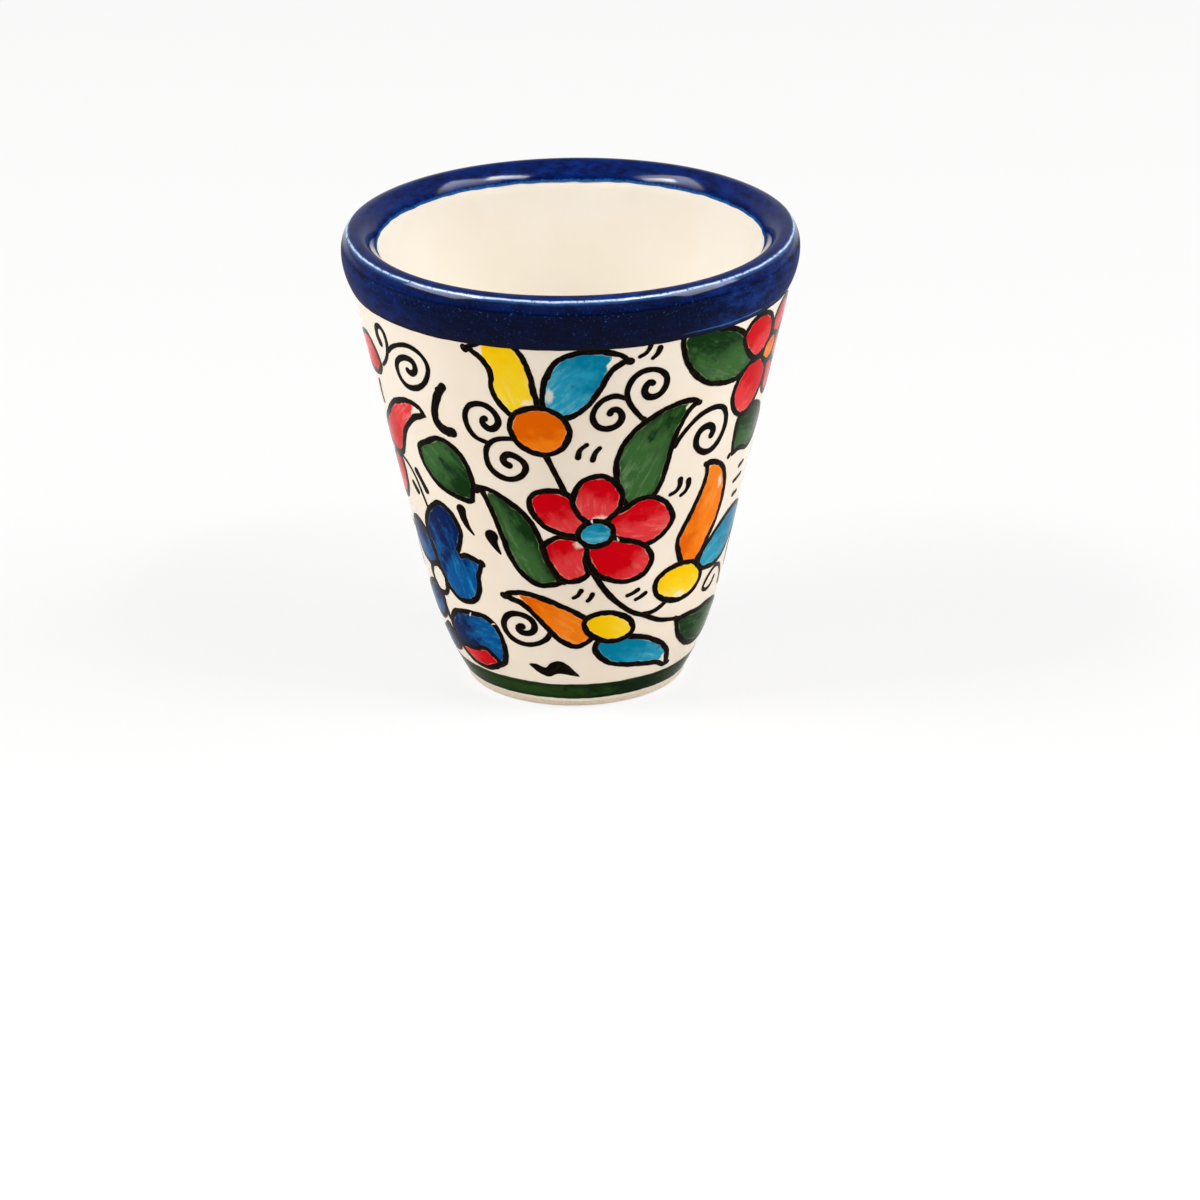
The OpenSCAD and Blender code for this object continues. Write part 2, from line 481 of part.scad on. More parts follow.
clay_body();
liner_glaze();
outer_glaze();
rim_glaze();
foot_line();
red_petals();
orange_petals();
yellow_petals();
turquoise_petals();
blue_petals();
green_leaves();
flower_outlines();
sprig_outlines();
leaf_outlines();
stems();
tendrils();
dashes();
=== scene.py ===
import math

import bmesh
import bpy
import numpy as np
from mathutils import Matrix, Vector
from mathutils.geometry import delaunay_2d_cdt


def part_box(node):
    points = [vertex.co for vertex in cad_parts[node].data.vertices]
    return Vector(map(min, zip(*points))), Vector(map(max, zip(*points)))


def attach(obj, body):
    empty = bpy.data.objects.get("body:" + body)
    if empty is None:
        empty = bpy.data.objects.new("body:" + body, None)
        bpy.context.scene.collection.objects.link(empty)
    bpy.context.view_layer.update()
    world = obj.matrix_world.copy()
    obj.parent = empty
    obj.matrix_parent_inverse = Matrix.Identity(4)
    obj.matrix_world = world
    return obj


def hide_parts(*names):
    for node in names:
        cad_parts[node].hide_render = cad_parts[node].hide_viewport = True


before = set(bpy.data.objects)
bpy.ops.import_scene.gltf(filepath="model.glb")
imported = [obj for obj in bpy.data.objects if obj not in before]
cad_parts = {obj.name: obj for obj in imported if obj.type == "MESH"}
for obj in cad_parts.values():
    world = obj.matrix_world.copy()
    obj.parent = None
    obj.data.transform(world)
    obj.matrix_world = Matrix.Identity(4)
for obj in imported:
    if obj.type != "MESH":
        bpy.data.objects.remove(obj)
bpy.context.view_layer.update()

MM = 0.001

# Sizes of the cup in millimetres, as on the solids that its pieces stand for
GLAZE_T = 0.3
CUP_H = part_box("clay_body")[1].z / MM + GLAZE_T
WALL_TOP_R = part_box("outer_glaze")[1].x / MM
HEEL_R = 20.5
HEEL_H = 15.6
HEEL_POWER = 2.4
WALL_T = 4.75
FLOOR_T = 6.0
WELL_R = 7.0
FOOT_R = 14.6
FOOT_ROUND = 0.2
BARE_H = 0.7
HOLLOW_R = 10.5
HOLLOW_H = 1.4
HOLLOW_SLOPE = 0.8
HOLLOW_SOFT = 0.3
HOLLOW_EDGE = 0.4
BAND_H = 7.3
BELLY_OUT = 1.15
BELLY_LEAN = 0.25
BELLY_LOW = 0.31
BELLY_HIGH = 0.75
ARRIS_OUT = 0.3
ARRIS_DROP = 0.3
CREST_IN = 1.3
BROW_IN = 0.8
LIP_IN_H = 2.4
LIP_STEEP = 58
LIP_PULL = 1.55
UNDER_BAND = 0.8
FOOT_LINE_Z = 1.45
FOOT_LINE_H = 2.65
LINE_W = 0.85
STROKE_W = {"stem": 0.75, "tendril": 0.85, "dash": 0.75}

# How far the coats and the paint stand over the glaze under them
RIM_PROUD = 0.03
FILL_PROUD = 0.03
LINE_PROUD = 0.04
PAINT_SUNK = 0.05

# Unevenness: the wall's ripple, a value over its highest sum, and the seed and depth of each ragged edge
RIPPLE = 0.02
RIPPLE_TOP = 2.5
EDGE_TURNS = (3, 7, 13, 23, 41, 67)
WALL_EDGE = (5, 0.14)
BAND_EDGE = (11, 0.16)
INNER_EDGE = (12, 0.22)
LINE_EDGES = ((31, 0.14), (32, 0.16))
LINE_SEED = 3.0
LINE_POOLS = 3
LINE_POOL = 0.3

# Fineness of the meshes: points round the cup, points of the lip that the liner starts from, what counts as
# one point or as nothing, and the angle of a sharp edge
TURNS = 256
LINER_LAP = 6
MERGE_AT = 1e-7
SAME_POINT = 1e-4
TINY = 1e-12
CREASE_AT = 40


# Section of the cup

BAND_Z = CUP_H - BAND_H
WALL_SLOPE = (WALL_TOP_R - HEEL_R) / (BAND_Z - HEEL_H)
SLANT = math.hypot(1, WALL_SLOPE)


def wall_line(z):
    return HEEL_R + WALL_SLOPE * (z - HEEL_H)


def wall_r(z):
    shade_below_crease = np.clip((HEEL_H - np.asarray(z, float)) / HEEL_H, 0, None)
    return wall_line(z) - (wall_line(0) - FOOT_R) * shade_below_crease ** HEEL_POWER


def well_line(z):
    return wall_line(z) - WALL_T * SLANT


def bezier(points, count):
    """Points along the smooth curve that leaves and meets its ends towards the points between."""
    t = np.linspace(0, 1, count)[:, None]
    run = [np.array(p, float) for p in points]
    while len(run) > 1:
        run = [a * (1 - t) + b * t for a, b in zip(run, run[1:])]
    return run[0]


def unit(rows):
    return rows / np.linalg.norm(rows, axis=1)[:, None]


def lengths(run):
    """How far along a run each of its points lies."""
    return np.concatenate([[0], np.cumsum(np.linalg.norm(np.diff(run, axis=0), axis=1))])


def stepped(run, length, at):
    """The points of a run at these lengths along it."""
    return np.stack([np.interp(at, length, run[:, i]) for i in (0, 1)], 1)


def joined(*runs):
    """Runs of section points end to end, without doubled points."""
    points = np.concatenate(runs)
    step = np.linalg.norm(np.diff(points, axis=0), axis=1)
    return points[np.concatenate([[True], step > SAME_POINT])]


def side(section):
    """Unit normals to the right of a run of section points, which is outward for a run up the outside."""
    run = unit(np.gradient(section, axis=0))
    return np.stack([run[:, 1], -run[:, 0]], 1)


BAND_FOOT = np.array([wall_line(BAND_Z), BAND_Z])
ARRIS = BAND_FOOT + [ARRIS_OUT, BAND_H - ARRIS_DROP]
BELLY_PULL = (8 * (BAND_FOOT[0] + BELLY_OUT) - BAND_FOOT[0] - ARRIS[0]) / 6
CREST = np.array([ARRIS[0] - CREST_IN, CUP_H])
LIP_EDGE = np.array([well_line(CUP_H - LIP_IN_H), CUP_H - LIP_IN_H])
BAND_RUN = bezier([BAND_FOOT, (BELLY_PULL - BELLY_LEAN, BAND_Z + BAND_H * BELLY_LOW),
                   (BELLY_PULL + BELLY_LEAN, BAND_Z + BAND_H * BELLY_HIGH), ARRIS], 60)
CREST_RUN = bezier([ARRIS, ((ARRIS[0] + CREST[0]) / 2, CUP_H), CREST], 14)
LIP_WAY = np.array([math.cos(math.radians(LIP_STEEP)), math.sin(math.radians(LIP_STEEP))])
LIP_RUN = bezier([CREST, CREST - [BROW_IN, 0], LIP_EDGE + LIP_PULL * LIP_WAY, LIP_EDGE], 30)


def wall_run(low, high, count):
    z = np.linspace(low, high, count)
    return np.stack([wall_r(z), z], 1)


def well_run():
    """From the lip's edge down the well, round its corner and in to the middle of the floor."""
    lean = math.atan(WALL_SLOPE)
    middle = np.array([well_line(FLOOR_T + WELL_R) - WELL_R * SLANT, FLOOR_T + WELL_R])
    turn = -np.linspace(lean, math.pi / 2, 24)
    corner = middle + WELL_R * np.stack([np.cos(turn), np.sin(turn)], 1)
    wall = np.linspace(LIP_EDGE, corner[0], 40)
    floor = np.linspace(corner[-1], (0, FLOOR_T), 10)
    return joined(wall, corner, floor)


def unevenness(u, z):
    """The small unevenness of a thrown wall, always inward, in millimetres, at u degrees and height z."""
    a = np.radians(u)
    ripple = np.sin(3 * a + 0.4) + 0.7 * np.sin(5 * a + z / 11 + 1.9) + 0.5 * np.sin(2 * a - z / 7 + 0.8)
    return RIPPLE * (ripple - RIPPLE_TOP) - RIM_PROUD


# Meshes

def link(name, data):
    """An object in the scene."""
    thing = bpy.data.objects.new(name, data)
    bpy.context.scene.collection.objects.link(thing)
    return thing


def new_mesh(name, points, faces, material):
    mesh = bpy.data.meshes.new(name)
    mesh.from_pydata(points, [], faces)
    mesh.validate()
    mesh.materials.append(material)
    return link(name, mesh)


def new_piece(name, points, faces, node, slot):
    """A piece in millimetres that stands for a node of the frame."""
    piece = new_mesh(name, (np.asarray(points) * MM).tolist(), faces, FINISH[slot])
    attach(piece, "root")
    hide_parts(node)
    return piece


def lay_on(mesh, label, rows):
    """Three numbers on each point of a mesh, for its material to read."""
    layer = mesh.attributes.new(label, "FLOAT_VECTOR", "POINT")
    layer.data.foreach_set("vector", rows.astype(np.float32).ravel())


def turned(name, section_at, node, slot, marks=None):
    """A closed piece of turned ware. Its section at u degrees is section_at(u), points round a loop."""
    angles = np.arange(TURNS) * 360 / TURNS
    rings = [section_at(u) for u in angles]
    count = len(rings[0])
    points = np.concatenate([
        np.stack([ring[:, 0] * math.sin(math.radians(u)),
                  -ring[:, 0] * math.cos(math.radians(u)), ring[:, 1]], 1)
        for u, ring in zip(angles, rings)])
    faces = []
    for i in range(TURNS):
        here, there = i * count, (i + 1) % TURNS * count
        for k in range(count):
            n = (k + 1) % count
            faces.append((here + k, there + k, there + n, here + n))
    mesh = new_piece(name, points, faces, node, slot).data
    if marks is not None:
        lay_on(mesh, "skin", np.tile(marks, (TURNS, 1)))
    work = bmesh.new()
    work.from_mesh(mesh)
    bmesh.ops.remove_doubles(work, verts=work.verts, dist=MERGE_AT)
    bmesh.ops.recalc_face_normals(work, faces=work.faces)
    for edge in work.edges:
        edge.smooth = len(edge.link_faces) == 2 and edge.calc_face_angle() < math.radians(CREASE_AT)
    for face in work.faces:
        face.smooth = True
    work.to_mesh(mesh)
    work.free()
    return mesh


# Shader maths

class Value:
    """A shader socket that takes part in Python sums."""

    def __init__(self, finish, socket):
        self.finish = finish
        self.socket = socket

    def math(self, operation, first, second):
        return self.finish.add("ShaderNodeMath", {"operation": operation}, {0: first, 1: second})

    def __add__(self, other):
        return self.math("ADD", self, other)

    def __sub__(self, other):
        return self.math("SUBTRACT", self, other)

    def __rsub__(self, other):
        return self.math("SUBTRACT", other, self)

    def __mul__(self, other):
        return self.math("MULTIPLY", self, other)

    __radd__ = __add__
    __rmul__ = __mul__


class Finish:
    """The nodes of a material, or of the room's light, under construction."""

    def __init__(self, name, kind="materials"):
        self.owner = getattr(bpy.data, kind).new(name)
        self.owner.use_nodes = True
        self.tree = self.owner.node_tree
        self.tree.nodes.clear()

    def add(self, kind, settings=None, inputs=None, output=0):
        """A node of any kind: its settings first, then the values or links of its sockets."""
        node = self.tree.nodes.new(kind)
        for key, value in (settings or {}).items():
            setattr(node, key, value)
        for key, value in (inputs or {}).items():
            if isinstance(value, Value):
                self.tree.links.new(value.socket, node.inputs[key])
            else:
                node.inputs[key].default_value = value
        return Value(self, node.outputs[output]) if node.outputs else None

    def split(self, vector):
        node = self.add("ShaderNodeSeparateXYZ", None, {0: vector}).socket.node
        return [Value(self, socket) for socket in node.outputs]

    def vector(self, x, y, z):
        return self.add("ShaderNodeCombineXYZ", None, {0: x, 1: y, 2: z})

    def attribute(self, name):
        return self.add("ShaderNodeAttribute", {"attribute_name": name}, None, "Vector")

    def place(self):
        """The place on the cup in millimetres."""
        where = self.add("ShaderNodeTexCoord", None, None, "Object")
        return self.add("ShaderNodeVectorMath", {"operation": "SCALE"}, {0: where, "Scale": 1 / MM})

    def noise(self, vector, scale=1.0, detail=2.0, roughness=0.5):
        return self.add("ShaderNodeTexNoise", None,
                        {"Vector": vector, "Scale": scale, "Detail": detail, "Roughness": roughness})

    def smooth(self, low, high, value):
        """From 0 at low to 1 at high, with soft ends."""
        return self.add("ShaderNodeMapRange", {"interpolation_type": "SMOOTHSTEP"},
                        {"Value": value, "From Min": low, "From Max": high})

    def mix(self, factor, first, second):
        """From the first colour at 0 to the second at 1."""
        return self.add("ShaderNodeMix", {"data_type": "RGBA", "clamp_factor": True},
                        {0: factor, 6: first, 7: second}, 2)

    def away(self, value, middle):
        """How far a value is from a middle."""
        return self.add("ShaderNodeMath", {"operation": "ABSOLUTE"}, {0: value - middle})

    def bump(self, height, distance):
        return self.add("ShaderNodeBump", None, {"Height": height, "Distance": distance, "Strength": 1.0})

    def glaze(self, colour, roughness, specular=0.015, normal=None, coat=0.0):
        """Closes the material as a glossy glaze."""
        inputs = {"Base Color": colour, "Roughness": roughness, "Specular IOR Level": specular,
                  "Coat Weight": coat, "Coat Roughness": 0.1}
        if normal is not None:
            inputs["Normal"] = normal
        return self.close(self.add("ShaderNodeBsdfPrincipled", None, inputs))

    def close(self, shader, kind="Material"):
        self.add("ShaderNodeOutput" + kind, None, {"Surface": shader})
        return self.owner


def paint(red, green, blue):
    """A colour as a screen shows it, 0 to 255, for a shader socket."""
    share = [c / 255 for c in (red, green, blue)]
    return tuple(c / 12.92 if c <= 0.04045 else ((c + 0.055) / 1.055) ** 2.4 for c in share) + (1.0,)


IVORY = paint(249, 236, 218)
CREAM = paint(249, 242, 231)

# Heights of the skins' unevenness, in metres
GLAZE_BUMP = 0.00004
COBALT_BUMP = 0.00003
CLAY_BUMP = 0.00012


# Finishes

def ivory_glaze():
    f = Finish("ivory_glaze")
    place = f.place()
    cloud = f.noise(place, 0.09, 2)
    speck = f.noise(place, 2.6, 2)
    colour = f.mix(f.smooth(0.3, 0.7, cloud), IVORY, paint(246, 231, 210))
    colour = f.mix(f.smooth(0.71, 0.78, speck) * 0.25, colour, paint(214, 190, 158))
    peel = f.bump(f.noise(place, 0.5, 2), GLAZE_BUMP)
    return f.glaze(colour, 0.12, 0.2, peel)


def cream_glaze():
    f = Finish("cream_glaze")
    place = f.place()
    colour = f.mix(f.smooth(0.3, 0.7, f.noise(place, 0.08, 2)), CREAM, paint(247, 239, 224))
    peel = f.bump(f.noise(place, 0.4, 2), GLAZE_BUMP)
    return f.glaze(colour, 0.14, 0.2, peel)


def bare_clay():
    f = Finish("bare_clay")
    place = f.place()
    grain = f.noise(place, 3.0, 4, 0.65)
    colour = f.mix(f.smooth(0.35, 0.7, grain), paint(242, 227, 206), paint(230, 211, 186))
    return f.glaze(colour, 0.8, 0.3, f.bump(grain, CLAY_BUMP))


def cobalt_glaze():
    """Deep blue with pale flecks, light where it breaks thin over the arris and where a highlight is painted
    there, dark at its foot and thin at its inner edge. Painted shade darkens the outer band, and painted
    highlights lighten its right side."""
    f = Finish("cobalt_glaze")
    place = f.place()
    down, low, inner = f.split(f.attribute("skin"))
    broad = f.noise(place, 0.12, 2)
    x, y, _ = f.split(place)
    cloud = f.noise(f.vector(x * 0.45, y * 0.45, down), 0.9, 5, 0.7)
    fleck = f.noise(place, 2.6, 4, 0.65)
    ragged = f.noise(place, 1.3, 3, 0.7)
    # The right side of the cup, where painted highlights and painted sheen go
    right_side_light = f.smooth(12, 22, x)
    colour = f.mix(f.smooth(0.30, 0.74, cloud), paint(1, 11, 58), paint(3, 40, 116))
    outside = f.smooth(-0.2, 0.2, down)
    # Painted shade: the outer band is darkened, more below the crease, and less towards the left and right
    # sides
    shade_below_crease = f.smooth(1.6, 2.4, down + (ragged - 0.5) * 0.3)
    shade_eased_at_sides = f.smooth(14, 28, f.away(x, 0))
    colour = f.mix((outside * 0.5 + shade_below_crease * 0.35) * (1 - shade_eased_at_sides * 0.7), colour, paint(0, 3, 26))
    colour = f.mix(f.smooth(0.58, 0.80, fleck) * (0.1 + outside * 0.4), colour, paint(36, 94, 172))
    colour = f.mix(f.smooth(1.1, 0.1, low + (cloud - 0.5) * 0.8) * 0.8, colour, paint(7, 6, 24))
    # Painted shade: a thin dark line about 1.9 mm below the arris, where the roll meets the lower band
    crease_shade = f.smooth(0.24, 0.05, f.away(down + (cloud - 0.5) * 0.4, 1.9))
    colour = f.mix(crease_shade * 0.7, colour, paint(0, 2, 20))
    # Partly pale flecks in the glaze, partly a painted highlight: a broken row of pale flecks about 2.4 mm
    # below the arris
    fleck_row_and_highlight = f.smooth(1.1, 0.3, f.away(down + (ragged - 0.5) * 1.5, 2.4)) * f.smooth(0.60, 0.70, fleck)
    # Painted highlight: a pale line about 0.9 mm above the band's lower edge, on the right side only
    right_edge_highlight = f.smooth(0.2, 0.05, f.away(low + (cloud - 0.5) * 0.3, 0.9)) * f.smooth(0.4, 0.55, broad) * right_side_light
    colour = f.mix(fleck_row_and_highlight * 0.3 + right_edge_highlight * 0.6, colour, paint(76, 132, 194))
    # Painted sheen: lighter blue streaks on the outer band's right side
    right_side_sheen = f.smooth(0.46, 0.66, cloud) * f.smooth(0.3, 0.7, broad) * right_side_light * outside
    colour = f.mix(right_side_sheen * 0.35, colour, paint(26, 70, 150))
    # Partly the glaze breaking thin over the arris, partly a painted highlight: a light blue band and a
    # broken near-white line along the arris
    arris_thin_and_highlight = f.smooth(0.6, 0.0, f.away(down + (ragged - 0.5) * 0.35, 0.12))
    colour = f.mix(arris_thin_and_highlight * 0.6, colour, paint(60, 118, 190))
    arris_break_and_highlight = f.smooth(0.24, 0.04, f.away(down + (ragged - 0.5) * 0.16, 0.04))
    colour = f.mix(arris_break_and_highlight * f.smooth(0.34, 0.5, ragged), colour, paint(206, 222, 243))
    thin = f.smooth(0.55, 0.05, inner + (fleck - 0.5) * 0.8)
    colour = f.mix(thin * 0.8, colour, paint(50, 104, 166))
    gloss = (1 - f.smooth(0.2, 1.8, down) * 0.88) * f.smooth(0.3, 1.7, inner)
    return f.glaze(colour, 0.07, 0.0, f.bump(cloud, COBALT_BUMP), gloss)


def line_black():
    """Brush black, a little warmer where the stroke ran thin."""
    f = Finish("line_black")
    place = f.place()
    edge = f.split(f.attribute("wash"))[1]
    streak = f.noise(place, 1.3, 3, 0.6)
    colour = f.mix(f.smooth(0.50, 0.74, streak), paint(9, 6, 4), paint(30, 22, 15))
    halo = f.smooth(0.10, 0.0, edge + (f.noise(place, 3.2, 2) - 0.5) * 0.12)
    colour = f.mix(halo * 0.5, colour, paint(74, 50, 30))
    return f.glaze(colour, 0.14)


def wash_of(name, deep, even, thin, fringe, streaky, patchy, front, shore=0.0):
    """A brushed colour: deep where it pooled up to a wavy front, and along its shore, even elsewhere,
    thin in soft streaks along the brush's way, paler beside the line and where the brush missed."""
    f = Finish(name)
    deep, even, thin, fringe = (paint(*colour) for colour in (deep, even, thin, fringe))
    along, across, seed = f.split(f.attribute("brush"))
    pool, edge, pale = f.split(f.attribute("wash"))
    patches = f.noise(f.vector(along * 0.42, across * 0.52, seed), 1.0, 4, 0.6)
    streaks = f.noise(f.vector(along * 0.30, across * 1.5, seed + 7.7), 1.0, 3, 0.5)
    grain = f.noise(f.vector(along * 2.2, across * 2.2, seed), 1.0, 3, 0.6)
    lift = (patches - 0.5) * patchy * 3.2 + (streaks - 0.5) * streaky * 1.6 + (grain - 0.5) * 0.35
    dark = f.smooth(-front, front, pool + lift)
    colour = f.mix(dark, even, deep)
    watery = f.smooth(0.47, 0.68, streaks * 0.55 + patches * 0.45 + (grain - 0.5) * 0.12) * (1 - dark)
    colour = f.mix(watery * 0.9, colour, thin)
    colour = f.mix(f.smooth(0.9, 0.1, edge + (patches - 0.5) * 1.5) * shore, colour, deep)
    beside = f.smooth(0.2, 0.03, edge + (grain - 0.5) * 0.24)
    colour = f.mix(beside * 0.5, colour, fringe)
    colour = f.mix(f.smooth(0.1, 0.7, pale + (grain - 0.5) * 0.6) * 0.65, colour, IVORY)
    return f.glaze(colour, 0.12)


# Brushed colours, 0 to 255: deep, even, thin and beside the line, then how streaky and how patchy they are,
# how soft the front of the pool is and how much they deepen along their edge
WASHES = {
    "foot_green": ((10, 32, 8), (34, 64, 22), (66, 90, 40), (70, 80, 36), 0.9, 0.8, 0.5, 0.6),
    "red_paint": ((206, 0, 16), (228, 56, 60), (240, 124, 116), (244, 176, 156), 0.5, 0.7, 0.5),
    "orange_paint": ((230, 99, 0), (248, 127, 14), (252, 162, 74), (250, 204, 150), 0.7, 0.8, 0.5),
    "yellow_paint": ((254, 202, 6), (255, 214, 36), (252, 228, 118), (252, 232, 160), 0.5, 0.8, 0.6),
    "turquoise_paint": ((2, 124, 158), (36, 152, 184), (120, 194, 210), (166, 208, 206), 0.5, 1.0, 0.5),
    "blue_paint": ((0, 26, 78), (0, 80, 144), (36, 140, 196), (110, 160, 200), 0.6, 1.4, 0.5, 0.2),
    "green_paint": ((18, 50, 18), (58, 100, 50), (114, 146, 100), (130, 160, 110), 1.3, 1.0, 0.7, 0.4),
}
FINISH = {"clay": bare_clay(), "liner_glaze": cream_glaze(), "wall_glaze": ivory_glaze(),
          "cobalt_glaze": cobalt_glaze()}
FINISH |= {name: wash_of(name, *wash) for name, wash in WASHES.items()}
FINISH["black_line"] = line_black()


# Turned pieces

def ragged_edge(seed, depth):
    """How far a brushed edge wanders, in millimetres, at u degrees."""
    draw = np.random.default_rng(seed)
    waves = [(k, draw.uniform(0, 2 * math.pi), draw.uniform(0.4, 1) / k ** 0.4) for k in EDGE_TURNS]
    total = sum(size for _, _, size in waves)

    def wander(u):
        return depth * sum(size * math.sin(k * math.radians(u) + turn) for k, turn, size in waves) / total
    return wander


def coat(run_at, thickness, proud=0.0):
    """The closed section of a coat: its skin, then its back."""
    def section(u):
        run = run_at(u)
        out = side(run)
        run = run + out * unevenness(u, run[:, 1:2])
        return np.concatenate([run + out * proud, (run - out * thickness)[::-1]])
    return section


def slid(run, from_start, from_end):
    """A run of section points with its two ends cut back along it, or drawn out by a negative cut."""
    length = lengths(run)
    at = from_start + (length[-1] - from_start - from_end) * length / length[-1]
    start = run[0] + (run[1] - run[0]) / length[1] * np.minimum(at, 0)[:, None]
    end = (run[-1] - run[-2]) / (length[-1] - length[-2]) * np.maximum(at - length[-1], 0)[:, None]
    return np.where((at < 0)[:, None], start, stepped(run, length, at) + end)


def make_clay():
    skin = joined(wall_run(BARE_H, BAND_Z, 60), BAND_RUN, CREST_RUN, LIP_RUN, well_run())
    clay = skin - side(skin) * GLAZE_T
    clay[0] = (wall_r(BARE_H), BARE_H)
    clay[-1, 0] = 0
    foot = bezier([(FOOT_R - 2 * FOOT_ROUND, 0), (FOOT_R - 0.3 * FOOT_ROUND, 0),
                   (wall_r(BARE_H) - 0.02, FOOT_ROUND), clay[0]], 8)
    bend = HOLLOW_R - HOLLOW_SLOPE
    slope = bezier([(0, HOLLOW_H), (bend - HOLLOW_SOFT, HOLLOW_H), (bend + HOLLOW_SOFT, HOLLOW_H),
                    (HOLLOW_R, 0.1), (HOLLOW_R + HOLLOW_EDGE, 0)], 24)
    section = joined(slope, foot, clay)
    turned("body", lambda u: section, "clay_body", "clay")


def make_wall():
    edge = ragged_edge(*WALL_EDGE)
    run = joined(wall_run(BARE_H, HEEL_H, 30), wall_run(HEEL_H, BAND_Z + UNDER_BAND, 60))
    turned("wall_glaze", coat(lambda u: slid(run, edge(u), 0), GLAZE_T), "outer_glaze", "wall_glaze")


def make_liner():
    """The cream coat, which starts under the blue one."""
    run = joined(LIP_RUN[-LINER_LAP:], well_run())
    turned("liner", coat(lambda u: run, GLAZE_T), "liner_glaze", "liner_glaze")


def make_rim():
    """The blue coat, with its distance from the arris, its lower edge and its inner edge laid on its skin."""
    low, inner = ragged_edge(*BAND_EDGE), ragged_edge(*INNER_EDGE)
    run = joined(BAND_RUN, CREST_RUN, LIP_RUN)
    length = lengths(run)
    arris = np.argmin(np.linalg.norm(run - ARRIS, axis=1))
    marks = np.stack([length[arris] - length, length, length[-1] - length], 1)
    turned("rim", coat(lambda u: slid(run, low(u), inner(u)), GLAZE_T, RIM_PROUD), "rim_glaze",
           "cobalt_glaze", np.concatenate([marks, marks[::-1]]))


make_clay()
make_wall()
make_liner()
make_rim()


# Painting grid: u in degrees round the cup from the front, v from 0 at the green line to 100 at the band

PAINT_Z = FOOT_LINE_Z + FOOT_LINE_H
V_RISE = (BAND_Z - PAINT_Z) / 100
V_MM = V_RISE * SLANT


def height(v):
    return PAINT_Z + np.asarray(v, float) * V_RISE


def u_mm(v):
    return np.radians(wall_r(height(v)))


def round_way(count):
    """Angles all the way round."""
    return np.arange(count) * 2 * math.pi / count


def petal(colour, points, pool=90, deep=0.5, tip=0.0):
    """A closed brush shape by its outer edge. A third number on a point makes its bend sharper.
    The colour pools towards an angle, over a share of the shape, and leaves the first sharp tip bare
    for so many millimetres."""
    return {"colour": colour, "points": points, "pool": pool, "deep": deep, "tip": tip}


def heart(colour, u, v, half_u, half_v, tilt, pool=90, deep=0.5):
    lean = math.radians(tilt)
    points = [(u + half_u * math.cos(a) * math.cos(lean) - half_v * math.sin(a) * math.sin(lean),
               v + half_u * math.cos(a) * math.sin(lean) + half_v * math.sin(a) * math.cos(lean))
              for a in round_way(16)]
    return petal(colour, points, pool, deep)


